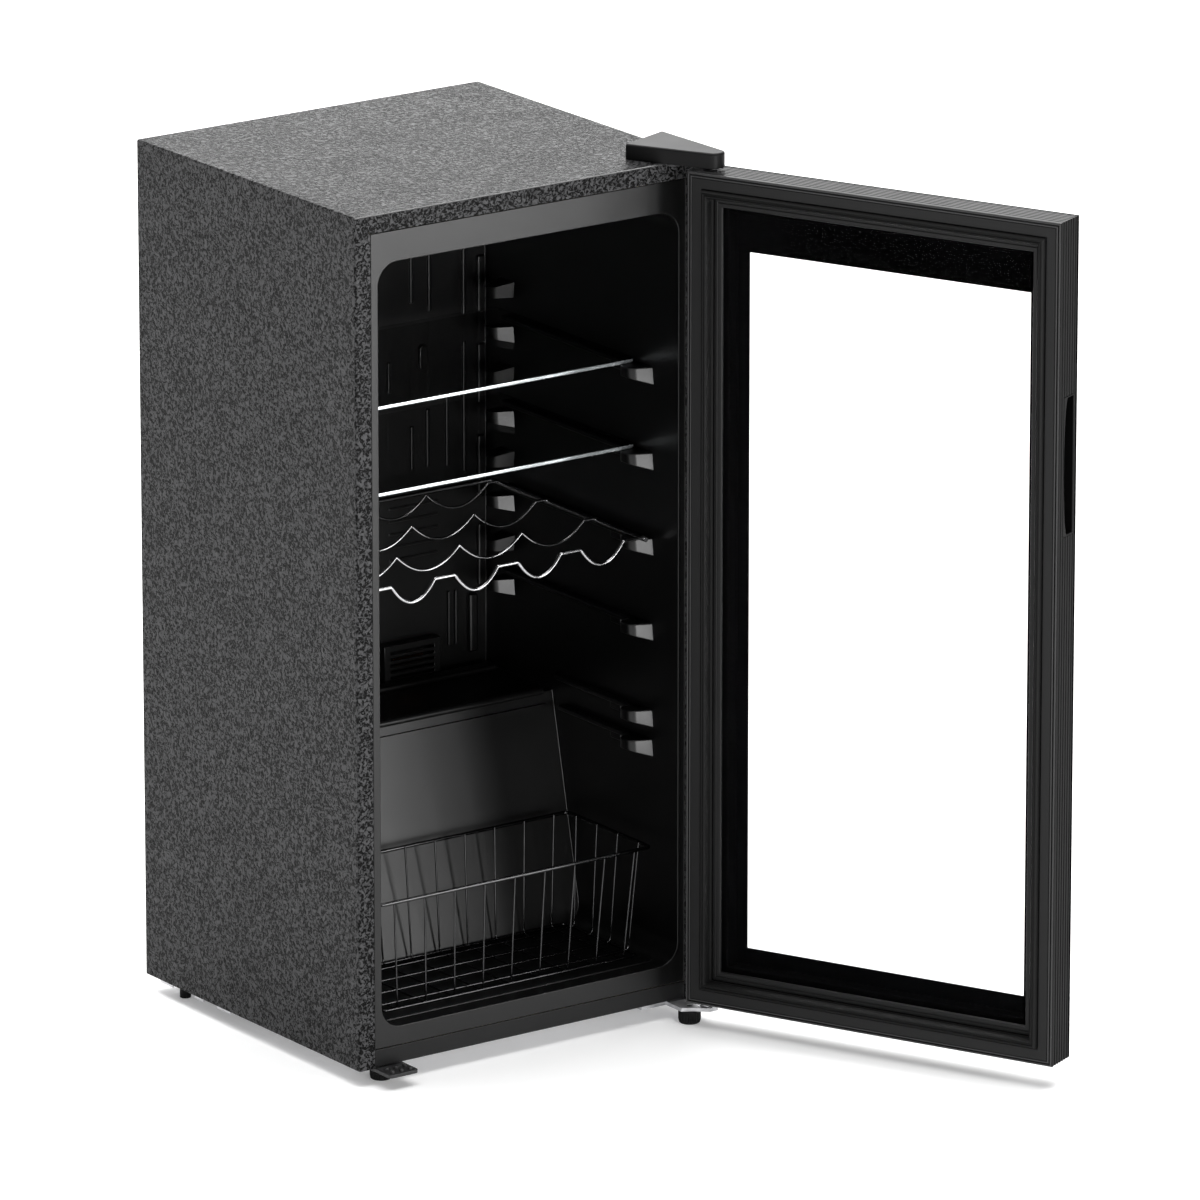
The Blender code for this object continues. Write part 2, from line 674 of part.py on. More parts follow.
def basket():
    left, right = CAVITY_LEFT + BASKET_SIDE, CAVITY_RIGHT - BASKET_SIDE
    rim = (left, BASKET_FRONT_Y, right, BASKET_REAR_Y)
    lean = slope_y(BASKET_RIM) - slope_y(CAVITY_FLOOR) - 0.008
    floor = (left + BASKET_TAPER, BASKET_FRONT_Y + BASKET_TAPER, right - BASKET_TAPER,
             BASKET_REAR_Y - BASKET_TAPER - max(0, lean - BASKET_TAPER))
    low = CAVITY_FLOOR + 0.0025
    wall = BASKET_WALL

    def shrunk(rectangle):
        a, b, c, d = rectangle
        return (a + wall, b + wall, c - wall, d - wall)

    hollow = frustum(shrunk(floor), shrunk(rim), low + wall, BASKET_RIM + 0.00001)
    slide = empty("basket_slide", (WIDTH / 2, BASKET_FRONT_Y, BASKET_RIM), cabinet_frame)
    top = box((left - 1, BASKET_FRONT_Y - 1, BASKET_RIM - 0.0005),
              (right + 1, BASKET_REAR_Y + 1, BASKET_RIM + 1))
    outer = frustum(floor, rim, low, BASKET_RIM)
    keep(cut(outer, hollow, top), "basket", "chrome", slide)


# ---- machine compartment and rear ----
COMPRESSOR_X = WIDTH - 0.168
COMPRESSOR_Y = DEPTH - 0.080
COMPRESSOR_TALL = 0.138
FOOT_SPREAD = (COMPRESSOR_R + 0.008, COMPRESSOR_R - 0.017)
FOOT_EDGE = (0.012, 0.010)
GROMMET_R = 0.009
GROMMET_TALL = 0.012
STARTER = (0.030, 0.048, 0.053)
STARTER_LOW = 0.045
PAN = (0.150, 0.108, 0.022)
PAN_LOW = 0.168
PAN_WALL = 0.0015
DRIER_R = 0.009
DRIER_LOW = 0.080
DRIER_TALL = 0.080
TRAY_MARGIN = 0.006
TRAY_TOP = -GAP
TRAY_LOW = TRAY_TOP - TRAY_SHEET
TAB_X = 0.010
TABS_FROM_BACK = ((0.144, 0.118), (0.093, 0.075), (0.035, 0.012))


def compressor_tray():
    plate = box((TRAY_MARGIN, slope_y(0, FOAM_THICK) + 0.004, TRAY_LOW),
                (WIDTH - TRAY_MARGIN, DEPTH - 0.003, TRAY_TOP))
    tabs = [box((TAB_X, DEPTH - start, -TRAY_FLANGE),
                (TAB_X + TRAY_SHEET, DEPTH - end, TRAY_LOW + TRAY_SHEET / 2))
            for start, end in TABS_FROM_BACK]
    keep(join(plate, bundle(tabs + other_side(tabs))), "compressor_tray", "galvanised")


def compressor():
    x, y, radius = COMPRESSOR_X, COMPRESSOR_Y, COMPRESSOR_R
    spread_x, spread_y = FOOT_SPREAD
    low = TRAY_TOP + 2 * GAP + GROMMET_TALL
    spots = [(x + a, y + b) for a in (-spread_x, spread_x) for b in (-spread_y, spread_y)]
    for i, (spot_x, spot_y) in enumerate(spots):
        grommet = rod((spot_x, spot_y, TRAY_TOP + GAP + GROMMET_TALL / 2), "z", GROMMET_R,
                      GROMMET_TALL, 12)
        keep(grommet, f"compressor_grommet_{i + 1}", "rubber", smooth=40)
    reach_x, reach_y = spread_x + FOOT_EDGE[0], spread_y + FOOT_EDGE[1]
    foot = box((x - reach_x, y - reach_y, low), (x + reach_x, y + reach_y, low + PLATE))
    shape = ((0.8, 0.007), (1, 0.16), (1, 0.63), (0.96, 0.75), (0.78, 0.89), (0.4, 0.975))
    can = [(0, low + 0.001)]
    can += [(radius * wide, low + COMPRESSOR_TALL * tall) for wide, tall in shape]
    can += [(0, low + COMPRESSOR_TALL)]
    keep(join(foot, turned(can, x, y)), "compressor", "black_steel", smooth=40)
    starter_x = x + radius + 2 * GAP + STARTER[0] / 2
    keep(centred((starter_x, y, STARTER_LOW + STARTER[2] / 2), STARTER), "starter_box",
         "black_plastic")
    pan_at = Vector((x, y + 0.002, PAN_LOW + PAN[2] / 2))
    pan = centred(pan_at, PAN)
    well = centred(pan_at + Vector((0, 0, PAN_WALL + 0.005)),
                   Vector(PAN) + Vector((-2 * PAN_WALL, -2 * PAN_WALL, 0.010)))
    keep(cut(pan, well), "drain_pan", "black_plastic")
    drier_high = DRIER_LOW + DRIER_TALL
    keep(turned([(0, DRIER_LOW), (WIRE_R, DRIER_LOW), (WIRE_R, DRIER_LOW + 0.007),
                 (DRIER_R, DRIER_LOW + 0.015), (DRIER_R, drier_high - 0.015),
                 (WIRE_R, drier_high - 0.007), (WIRE_R, drier_high), (0, drier_high)],
                x - radius - DRIER_TALL, y + 0.022, 14), "filter_drier", "copper", smooth=40)


CONDENSER_Y = DEPTH + CONDENSER_STAND
CONDENSER_LEFT = 0.075
CONDENSER_RIGHT = WIDTH - 0.075
CONDENSER_LOW = 0.300
CONDENSER_HIGH = HEIGHT - 0.060
CONDENSER_WIRES = 10
PIPE_R = 0.003


def condenser():
    pitch = (CONDENSER_HIGH - CONDENSER_LOW) / (CONDENSER_ROWS - 1)
    bend = pitch / 2
    inner_left, inner_right = CONDENSER_LEFT + bend, CONDENSER_RIGHT - bend
    path = [(CONDENSER_LEFT, CONDENSER_Y, CONDENSER_LOW - 0.045),
            (CONDENSER_LEFT, CONDENSER_Y, CONDENSER_LOW - 0.012),
            (CONDENSER_LEFT + 0.012, CONDENSER_Y, CONDENSER_LOW)]
    for row in range(CONDENSER_ROWS):
        z = CONDENSER_LOW + row * pitch
        rightward = row % 2 == 0
        path.append((inner_right if rightward else inner_left, CONDENSER_Y, z))
        if row == CONDENSER_ROWS - 1:
            break
        centre_x = inner_right if rightward else inner_left
        swing = 1 if rightward else -1
        for step in range(1, 6):
            angle = -pi / 2 + pi * step / 6
            path.append((centre_x + swing * bend * cos(angle), CONDENSER_Y,
                         z + bend + bend * sin(angle)))
        path.append((centre_x, CONDENSER_Y, z + pitch))
    tube = wire(path, CONDENSER_TUBE_R)
    behind = CONDENSER_Y + CONDENSER_TUBE_R - 0.0008
    rods = []
    for i in range(CONDENSER_WIRES):
        x = inner_left + (inner_right - inner_left) * i / (CONDENSER_WIRES - 1)
        rods.append(box((x - WIRE_R, behind, CONDENSER_LOW - 0.012),
                        (x + WIRE_R, CONDENSER_BACK, CONDENSER_HIGH + 0.012)))
    posts = []
    for x in (inner_left + 0.025, inner_right - 0.025):
        for z in (CONDENSER_LOW + pitch * 1, CONDENSER_HIGH - pitch * 1):
            posts.append(box((x - 0.006, DEPTH + GAP, z - 0.006),
                             (x + 0.006, CONDENSER_Y + 0.001, z + 0.006)))
    keep(join(tube, bundle(rods), bundle(posts)), "condenser", "black_steel", smooth=50)


def pipes():
    x, y, radius = COMPRESSOR_X, COMPRESSOR_Y, COMPRESSOR_R + GAP + 0.0004
    keep(wire([(x - radius, y, 0.095), (x - radius - 0.016, y, 0.095),
               (x - radius - 0.026, y, 0.105), (x - radius - 0.026, y, BASE_HIGH - SHEET - GAP)],
              PIPE_R, 8), "suction_pipe", "copper", smooth=50)
    lead = DEPTH - 0.004
    keep(wire([(x, y + radius, 0.085), (x, lead, 0.085), (x - 0.010, CONDENSER_Y - 0.004, 0.090),
               (x - 0.030, CONDENSER_Y, 0.100), (CONDENSER_LEFT + 0.025, CONDENSER_Y, 0.130),
               (CONDENSER_LEFT + 0.006, CONDENSER_Y, 0.142),
               (CONDENSER_LEFT, CONDENSER_Y, 0.165),
               (CONDENSER_LEFT, CONDENSER_Y, CONDENSER_LOW - 0.045 - GAP)],
              CONDENSER_TUBE_R, 8), "discharge_pipe", "copper", smooth=50)
    gland = turned([(0, 0), (0.011, 0), (0.011, 0.003), (0.008, 0.003), (0.007, 0.014),
                    (0.0035, 0.014), (0.0035, 0.004), (0, 0.004)], 0, 0, 16)
    gland.transform(Matrix.Translation((WIDTH - 0.045, DEPTH + GAP, BASE_HIGH + 0.020))
                    @ TURNS["y"])
    keep(gland, "mains_inlet_gland", "rubber", smooth=40)


# ---- hinges and feet ----
FOOT_SPOT = (PIVOT.x - 0.015, -0.020)
LEFT_FOOT_SPOT = (0.038, 0.017)
REAR_FOOT_SPOT = (0.020, DEPTH - 0.044)
REAR_FOOT_R = 0.006
BRACKET_TOP = -GAP
BRACKET_LOW = BRACKET_TOP - BRACKET
SCREW_R = 0.005
SCREW_TALL = 0.0028


def cover_outline():
    outline = [(WIDTH - 0.070, 0.038), (WIDTH - 0.005, 0.062)]
    for step in range(8):
        angle = radians(5 - 155 * step / 7)
        outline.append((PIVOT.x - 0.001 + 0.0115 * cos(angle),
                        PIVOT.y - 0.010 + 0.0115 * sin(angle)))
    return outline


def top_hinge():
    low = HEIGHT + GAP
    outline = cover_outline()
    roof = HEIGHT + COVER_HEIGHT
    body = prism(outline, "z", low, roof)
    keep(cut(body, prism(inset(outline, 0.002), "z", low - 0.01, roof - 0.002)),
         "top_hinge_cover", "gloss_plastic", smooth=35)
    spots = ((WIDTH - 0.050, 0.030), (WIDTH - 0.022, 0.040))
    holes = [rod((x, y, low), "z", 0.0027, 0.02, 12) for x, y in spots]
    plate = prism(inset(outline, 0.0045), "z", low, low + PLATE)
    keep(cut(plate, bundle(holes)), "top_hinge_plate", "galvanised")
    for i, (x, y) in enumerate(spots):
        head = low + PLATE + GAP
        screw = turned([(0, low + GAP), (0.0021, low + GAP), (0.0021, head + 0.0001),
                        (SCREW_R, head + 0.0001), (SCREW_R * 0.7, head + SCREW_TALL),
                        (0, head + SCREW_TALL)], x, y, 12)
        keep(screw, f"top_hinge_screw_{i + 1}", "galvanised", smooth=40)
    pin_low = DOOR_TOP - BUSH_DEEP + 0.002
    keep(rod((PIVOT.x, PIVOT.y, (pin_low + HEIGHT) / 2), "z", PIN_R, HEIGHT - pin_low, 16),
         "top_hinge_pin", "galvanised", smooth=40)


def bottom_hinge():
    x, y = FOOT_SPOT
    hole = rod((x, y, BRACKET_LOW), "z", STEM_R + 0.0005, 0.05, 12)
    front = PIVOT.y - 0.011
    outline = [(WIDTH - 0.070, 0.006), (PIVOT.x - 0.027, 0.006), (PIVOT.x - 0.027, y - 0.002),
               (PIVOT.x - 0.016, y - 0.0085), (PIVOT.x - 0.007, y - 0.0165),
               (PIVOT.x - 0.003, front),
               (WIDTH - 0.005, front), (WIDTH - 0.002, front + 0.004), (WIDTH - 0.002, 0.050),
               (WIDTH - 0.070, 0.050)]
    plate = prism(outline, "z", BRACKET_LOW, BRACKET_TOP)
    keep(cut(plate, hole), "bottom_hinge_bracket", "galvanised")
    for i, spot_x in enumerate((WIDTH - 0.055, WIDTH - 0.020)):
        high = BRACKET_LOW - GAP
        screw = turned([(0, high - SCREW_TALL), (SCREW_R * 0.7, high - SCREW_TALL),
                        (SCREW_R, high), (0, high)], spot_x, 0.036, 12)
        keep(screw, f"bottom_hinge_screw_{i + 1}", "galvanised", smooth=40)
    top = DOOR_BOTTOM + BUSH_DEEP - 0.002
    collar = DOOR_BOTTOM - 0.0008
    keep(turned([(0, BRACKET_TOP + GAP), (0.0065, BRACKET_TOP + GAP), (0.0065, collar),
                 (PIN_R, collar), (PIN_R, top - 0.001), (PIN_R - 0.001, top), (0, top)],
                PIVOT.x, PIVOT.y, 16), "bottom_hinge_pin", "galvanised", smooth=40)


def left_bracket():
    x, y = LEFT_FOOT_SPOT
    plate = prism(rounded(0.020, -0.026, 0.056, 0.034, 0.004, 3), "z", BRACKET_LOW, BRACKET_TOP)
    studs = [rod((0.027 + 0.011 * i, -0.020 + 0.010 * k, BRACKET_TOP + 0.001), "z", 0.0025, 0.004,
                 10) for i in range(3) for k in range(2)]
    mesh = join(plate, bundle(studs))
    mesh = cut(mesh, rod((x, y, BRACKET_LOW), "z", STEM_R + 0.0005, 0.05, 12))
    keep(mesh, "front_left_bracket", "black_steel")


def feet():
    for side, (x, y) in (("left", LEFT_FOOT_SPOT), ("right", FOOT_SPOT)):
        axis = empty(f"front_{side}_foot_axis", (x, y, -FOOT_DROP), cabinet_frame)
        high = BRACKET_LOW - GAP
        foot = turned([(0, -FOOT_DROP), (FOOT_R * 0.86, -FOOT_DROP),
                       (FOOT_R * 0.93, -FOOT_DROP + 0.0015), (FOOT_R, high), (STEM_R, high),
                       (STEM_R, BRACKET_TOP - GAP), (0, BRACKET_TOP - GAP)], x, y, 24)
        keep(foot, f"front_{side}_foot", "rubber", axis, 40)
    for side, x in (("left", REAR_FOOT_SPOT[0]), ("right", WIDTH - REAR_FOOT_SPOT[0])):
        high = TRAY_LOW - GAP
        keep(rod((x, REAR_FOOT_SPOT[1], (high - FOOT_DROP) / 2), "z", REAR_FOOT_R,
                 high + FOOT_DROP, 16), f"rear_{side}_foot", "rubber", smooth=40)


# ---- door, drawn closed ----
PANE_FACE = DOOR_THICK - PANE - GAP
INNER_EDGE = DOOR_BAND + GROOVE + GAP
INNER_WALL = 0.005
GLASS_EDGE = INNER_EDGE + INNER_WALL + GAP
GLASS_FACE = RECESS + LIP_THICK + GAP


def door():
    hinge = empty("door_hinge", PIVOT, cabinet_frame)
    hinge.rotation_euler.z = DOOR_OPEN

    def swept(profile):
        return picture_frame(profile, 0, DOOR_BOTTOM, WIDTH, DOOR_TOP, DOOR_INNER_Y)

    def slab(edge, near, far):
        return box((edge, DOOR_INNER_Y - far, DOOR_BOTTOM + edge),
                   (WIDTH - edge, DOOR_INNER_Y - near, DOOR_TOP - edge))

    frame = swept([(0, 0), (DOOR_BAND, 0), (DOOR_BAND, GROOVE_DEEP),
                   (DOOR_BAND + GROOVE, GROOVE_DEEP), (DOOR_BAND + GROOVE, PANE_FACE),
                   (0, PANE_FACE)])
    seats = [rod((PIVOT.x, PIVOT.y, z), "z", BUSH_R + GAP, 2 * BUSH_DEEP, 20)
             for z in (DOOR_TOP, DOOR_BOTTOM)]
    pocket = box((-0.01, DOOR_INNER_Y - GRIP_TO, GRIP_LOW),
                 (GRIP_DEEP, DOOR_INNER_Y - GRIP_FROM, GRIP_HIGH))
    keep(cut(frame, bundle(seats), pocket), "door_outer_frame", "black_plastic", hinge)
    near, far = DOOR_INNER_Y - GRIP_FROM - GAP, DOOR_INNER_Y - GRIP_TO + GAP
    cup = box((0, far, GRIP_LOW + GAP), (GRIP_DEEP - GAP, near, GRIP_HIGH - GAP))
    scoop = box((-0.01, far + GRIP_WALL, GRIP_LOW + GAP + GRIP_WALL),
                (GRIP_DEEP - GAP - GRIP_WALL, near - GRIP_WALL, GRIP_HIGH - GAP - GRIP_WALL))
    keep(cut(cup, scoop), "door_grip", "gloss_plastic", hinge)
    for name, low in (("door_bush_top", DOOR_TOP - BUSH_DEEP + GAP),
                      ("door_bush_bottom", DOOR_BOTTOM)):
        middle = low + (BUSH_DEEP - GAP) / 2
        bush = rod((PIVOT.x, PIVOT.y, middle), "z", BUSH_R, BUSH_DEEP - GAP, 20)
        bore = rod((PIVOT.x, PIVOT.y, middle), "z", PIN_R + RUN_CLEAR, BUSH_DEEP * 2, 16)
        keep(cut(bush, bore), name, "rubber", hinge, 40)
    keep(swept([(INNER_EDGE, RECESS), (INNER_EDGE + LIP, RECESS),
                (INNER_EDGE + LIP, RECESS + LIP_THICK),
                (INNER_EDGE + INNER_WALL, RECESS + LIP_THICK),
                (INNER_EDGE + INNER_WALL, PANE_FACE), (INNER_EDGE, PANE_FACE)]),
         "door_inner_frame", "black_plastic", hinge)
    keep(slab(GLASS_EDGE, GLASS_FACE, GLASS_FACE + INNER_PANE), "inner_glass", "clear_glass",
         hinge)
    spacer_face = GLASS_FACE + INNER_PANE + GAP
    keep(swept([(GLASS_EDGE, spacer_face), (GLASS_EDGE + SPACER, spacer_face),
                (GLASS_EDGE + SPACER, PANE_FACE), (GLASS_EDGE, PANE_FACE)]),
         "glass_spacer", "black_plastic", hinge)
    keep(slab(0, DOOR_THICK - PANE, DOOR_THICK), "outer_glass", "clear_glass", hinge)
    low_edge, high_edge = DOOR_BAND + GAP, DOOR_BAND + GROOVE - GAP
    keep(swept([(low_edge, GROOVE_DEEP - GAP), (low_edge, 0.001),
                (low_edge + 0.0015, -GASKET_PROUD), (high_edge - 0.0015, -GASKET_PROUD),
                (high_edge, 0.001), (high_edge, GROOVE_DEEP - GAP)]),
         "door_gasket", "rubber", hinge)


outer_shell()
inner_liner()
foam_insulation()
sheets()
sensor_cover()
controls()
for shelf in ("shelf_upper", "shelf_lower"):
    glass_shelf(shelf)
wine_rack()
basket()
compressor_tray()
compressor()
condenser()
pipes()
top_hinge()
bottom_hinge()
left_bracket()
feet()
door()
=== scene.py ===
# Looks for the glass-door wine cooler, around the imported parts.
import json
from math import cos, pi, radians, sin

import bmesh
import bpy
from mathutils import Matrix, Vector


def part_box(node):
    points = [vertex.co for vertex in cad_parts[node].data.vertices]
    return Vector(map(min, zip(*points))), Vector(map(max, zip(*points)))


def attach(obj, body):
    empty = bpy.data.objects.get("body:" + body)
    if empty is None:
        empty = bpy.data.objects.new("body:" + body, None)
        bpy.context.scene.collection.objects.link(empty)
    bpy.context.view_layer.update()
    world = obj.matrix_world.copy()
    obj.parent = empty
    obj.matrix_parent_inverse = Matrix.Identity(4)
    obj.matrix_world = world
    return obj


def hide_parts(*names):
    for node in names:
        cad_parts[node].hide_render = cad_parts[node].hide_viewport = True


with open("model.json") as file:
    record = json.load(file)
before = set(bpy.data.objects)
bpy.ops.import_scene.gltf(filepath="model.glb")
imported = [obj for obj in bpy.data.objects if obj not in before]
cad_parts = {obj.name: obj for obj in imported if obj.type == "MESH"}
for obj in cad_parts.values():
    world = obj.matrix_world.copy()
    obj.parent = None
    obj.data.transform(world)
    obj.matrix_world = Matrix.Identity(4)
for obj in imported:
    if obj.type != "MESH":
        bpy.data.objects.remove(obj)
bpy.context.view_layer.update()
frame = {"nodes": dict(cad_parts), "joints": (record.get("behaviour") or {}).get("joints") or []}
nodes = frame["nodes"]
joints = {joint["name"]: joint for joint in frame["joints"]}

# The cabinet's own frame: x from its left side, y from its front face, z from the shell's
# lower edge.
shellLow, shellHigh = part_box("outer_shell")
cabinetWidth, cabinetDepth, cabinetHeight = shellHigh - shellLow
toWorld = Matrix.Translation(shellLow)
toCabinet = toWorld.inverted()

# The door is shaped closed and turned to where it rests.
pinLow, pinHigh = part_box("top_hinge_pin")
pivot = (pinLow + pinHigh) / 2 - shellLow
doorOpen = radians(-joints["door_hinge"]["range_deg"][0])
doorTurn = Matrix.Translation((pivot.x, pivot.y, 0)) @ Matrix.Rotation(doorOpen, 4, "Z")
doorTurn = toWorld @ doorTurn @ Matrix.Translation((-pivot.x, -pivot.y, 0))


def cabinetBox(node):
    # a node's corners in the cabinet's frame
    low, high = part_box(node)
    return low - shellLow, high - shellLow


def doorBox(node):
    # a door node's corners with the door closed, in the cabinet's frame
    back = doorTurn.inverted()
    points = [back @ vertex.co for vertex in nodes[node].data.vertices]
    return (Vector([min(point[axis] for point in points) for axis in range(3)]),
            Vector([max(point[axis] for point in points) for axis in range(3)]))


def middleOf(node):
    # the middle and the radius of a standing round node, with its corners
    low, high = cabinetBox(node)
    return (low.x + high.x) / 2, (low.y + high.y) / 2, (high.x - low.x) / 2, low, high


class Value:
    # a socket of a material that can be added and scaled like a number
    def __init__(self, shader, socket):
        self.shader = shader
        self.socket = socket

    def maths(self, operation, *terms):
        return self.shader.add("ShaderNodeMath", {"operation": operation}, dict(enumerate(terms)))

    def __add__(self, other):
        return self.maths("ADD", self, other)

    def __sub__(self, other):
        return self.maths("SUBTRACT", self, other)

    def __rsub__(self, other):
        return self.maths("SUBTRACT", other, self)

    def __mul__(self, other):
        return self.maths("MULTIPLY", self, other)

    __radd__ = __add__
    __rmul__ = __mul__


class Shader:
    # a material under construction
    def __init__(self, name, constants):
        self.material = bpy.data.materials.new(name)
        self.material.use_nodes = True
        self.tree = self.material.node_tree
        self.surface = self.tree.nodes["Principled BSDF"]
        for label, value in constants.items():
            self.surface.inputs[label].default_value = value

    def add(self, kind, settings=None, inputs=None, output=0):
        node = self.tree.nodes.new(kind)
        for label, value in (settings or {}).items():
            if label == "stops":
                self.setStops(node.color_ramp, value)
            else:
                setattr(node, label, value)
        for label, value in (inputs or {}).items():
            self.put(node.inputs[label], value)
        return Value(self, node.outputs[output])

    def setStops(self, ramp, stops):
        while len(ramp.elements) < len(stops):
            ramp.elements.new(0.5)
        for element, (place, shade) in zip(ramp.elements, stops):
            element.position = place
            element.color = (shade, shade, shade, 1)

    def put(self, socket, value):
        if isinstance(value, Value):
            self.tree.links.new(value.socket, socket)
        else:
            socket.default_value = value

    def place(self, scale=(1, 1, 1)):
        # object coordinates in metres
        spot = self.add("ShaderNodeTexCoord", output=3)
        return self.add("ShaderNodeMapping", inputs={"Vector": spot, "Scale": scale})

    def noise(self, size, detail=2.0, distortion=0.0, stretch=(1, 1, 1)):
        # soft random patches, size in metres
        return self.add("ShaderNodeTexNoise", inputs={
            "Vector": self.place(stretch), "Scale": 1 / size, "Detail": detail,
            "Distortion": distortion})

    def cells(self, size, feature="F1"):
        return self.add("ShaderNodeTexVoronoi", {"feature": feature}, {
            "Vector": self.place(), "Scale": 1 / size})

    def ramp(self, value, *stops):
        return self.add("ShaderNodeValToRGB", {"stops": stops}, {0: value})

    def mix(self, share, first, second):
        # two colours
        return self.add("ShaderNodeMix", {"data_type": "RGBA"}, {0: share, 6: first, 7: second}, 2)

    def colour(self, value):
        self.put(self.surface.inputs["Base Color"], value)

    def roughness(self, value):
        self.put(self.surface.inputs["Roughness"], value)

    def relief(self, height, depth):
        # surface bumps of that depth in metres
        bump = self.add("ShaderNodeBump", inputs={"Height": height, "Distance": depth,
                                                  "Strength": 1.0})
        self.put(self.surface.inputs["Normal"], bump)


def grey(level, tint=1.0):
    return (level, level, level * tint, 1)


# finishes
finishLook = {
    "grainSize": 0.0034, "grainDepth": 0.0026, "plasticGrain": 0.0009, "plasticDepth": 0.00003,
    "spangleSize": 0.009, "dustSize": 0.05, "glassIndex": 1.5,
}


def hammeredPaint():
    look = Shader("hammeredPaint", {"Specular IOR Level": 0.09})
    worms = look.noise(finishLook["grainSize"], 1.5, 0.9)
    pits = look.cells(finishLook["grainSize"] * 1.5, "SMOOTH_F1")
    skin = look.ramp(worms, (0.43, 0.0), (0.55, 1.0)) * 0.85 + pits * 0.25
    worn = look.noise(finishLook["dustSize"], 3)
    # the colour follows the grain's height, near black in its hollows and mid grey on its crests:
    # partly the paint's own tone, partly painted shade of the hammered bumps
    lit = look.ramp(skin, (0.15, 0.0), (0.8, 1.0))
    look.colour(look.mix(lit, grey(0.0002), grey(0.055, 1.03)))
    look.roughness(0.40 + worn * 0.12 - skin * 0.06)
    look.relief(skin, finishLook["grainDepth"])
    return look.material


def mottled(name, constants, patch, dark, light, rough, fine=None):
    # two colours in patches, with a roughness that follows them, and finer bumps
    look = Shader(name, constants)
    tone = look.noise(*patch)
    look.colour(look.mix(tone, dark, light))
    look.roughness(rough[0] + tone * rough[1])
    if fine:
        look.relief(look.noise(*fine[0]), fine[1])
    return look.material


def mouldedPlastic(name, level, rough, depth=1.0, specular=0.2):
    look = Shader(name, {"Specular IOR Level": specular})
    grain = look.noise(finishLook["plasticGrain"], 3)
    patch = look.noise(finishLook["dustSize"], 2)
    look.colour(look.mix(patch, grey(level * 0.8), grey(level * 1.25, 1.04)))
    look.roughness(rough - 0.05 + patch * 0.07 + grain * 0.05)
    look.relief(grain, finishLook["plasticDepth"] * depth)
    return look.material


def zincSheet():
    look = Shader("zincSheet", {"Metallic": 0.95})
    spangle = look.cells(finishLook["spangleSize"])
    fine = look.noise(0.002, 4)
    look.colour(look.mix(spangle * 0.8 + fine * 0.2, grey(0.42, 1.02), grey(0.66, 1.03)))
    look.roughness(0.30 + spangle * 0.14 + fine * 0.08)
    look.relief(fine, 0.00004)
    return look.material


def brightChrome(name, dark, light):
    return mottled(name, {"Metallic": 1.0}, (0.012, 3), grey(dark, 1.02), grey(light, 1.02),
                   (0.09, 0.08), ((0.003, 2), 0.00002))


def drawnCopper():
    look = Shader("drawnCopper", {"Metallic": 1.0})
    tarnish = look.noise(0.02, 4)
    lines = look.noise(0.0015, 3, 0.0, (1, 1, 0.05))
    look.colour(look.mix(tarnish, (0.40, 0.17, 0.09, 1), (0.78, 0.39, 0.24, 1)))
    look.roughness(0.22 + tarnish * 0.2 + lines * 0.06)
    look.relief(lines, 0.00003)
    return look.material


def clearGlass(name, base, tint, mirror):
    # nearly clear face on, more mirror-like at a glancing angle
    look = Shader(name, {"Specular IOR Level": 0.5, "Base Color": tint})
    glance = look.add("ShaderNodeFresnel", inputs={"IOR": finishLook["glassIndex"]})
    smear = look.noise(0.05, 3)
    look.roughness(0.02 + smear * 0.03)
    look.put(look.surface.inputs["Alpha"], glance * mirror + base)
    return look.material


def creamFoam():
    look = Shader("creamFoam", {"Specular IOR Level": 0.3})
    bubbles = look.cells(0.0025)
    patch = look.noise(0.04, 3)
    look.colour(look.mix(patch, (0.62, 0.50, 0.26, 1), (0.84, 0.76, 0.52, 1)))
    look.roughness(0.75 + bubbles * 0.2)
    look.relief(bubbles, 0.0006)
    return look.material


aluminiumLines = (0.0012, 4, 0.0, (1, 1, 0.03))
finishes = {
    "hammered_paint": hammeredPaint(),
    "black_plastic": mouldedPlastic("satinPlastic", 0.006, 0.38),
    "gloss_plastic": mouldedPlastic("glossPlastic", 0.004, 0.2, 0.3, 0.3),
    "liner_plastic": mouldedPlastic("linerPlastic", 0.0022, 0.30, 0.6, 0.36),
    "galvanised": zincSheet(),
    "chrome": brightChrome("brightChrome", 0.30, 0.46),
    "black_steel": mottled("enamelledSteel", {"Specular IOR Level": 0.35}, (0.06, 3),
                           grey(0.010), grey(0.022, 1.05), (0.30, 0.14),
                           ((0.0016, 2), 0.00006)),
    "copper": drawnCopper(),
    "aluminium": mottled("rolledAluminium", {"Metallic": 1.0}, aluminiumLines, grey(0.52),
                         grey(0.70, 1.02), (0.28, 0.16), (aluminiumLines, 0.00003)),
    "clear_glass": clearGlass("clearGlass", 0.004, (0.004, 0.005, 0.005, 1), 0.16),
    "rubber": mottled("softRubber", {"Specular IOR Level": 0.16}, (0.03, 4), grey(0.001),
                      grey(0.004), (0.52, 0.2), ((0.0008, 2), 0.00004)),
    "foam": creamFoam(),
    "lamp_plastic": mottled("frostedLens", {"Subsurface Weight": 0.2,
                                            "Subsurface Radius": (0.004,) * 3}, (0.0012, 1),
                            (0.70, 0.74, 0.78, 1), (0.88, 0.90, 0.93, 1), (0.28, 0.2),
                            ((0.0012, 1), 0.0001)),
}
# a much darker copy of the chrome for the basket at the bottom of the cavity: painted shade
shadedBasketChrome = brightChrome("shadedBasketChrome", 0.03, 0.09)
shelfGlass = clearGlass("shelfGlass", 0.01, (0.004, 0.006, 0.006, 1), 0.30)
coverPlastic = mouldedPlastic("coverPlastic", 0.006, 0.42, 0.3, 0.12)
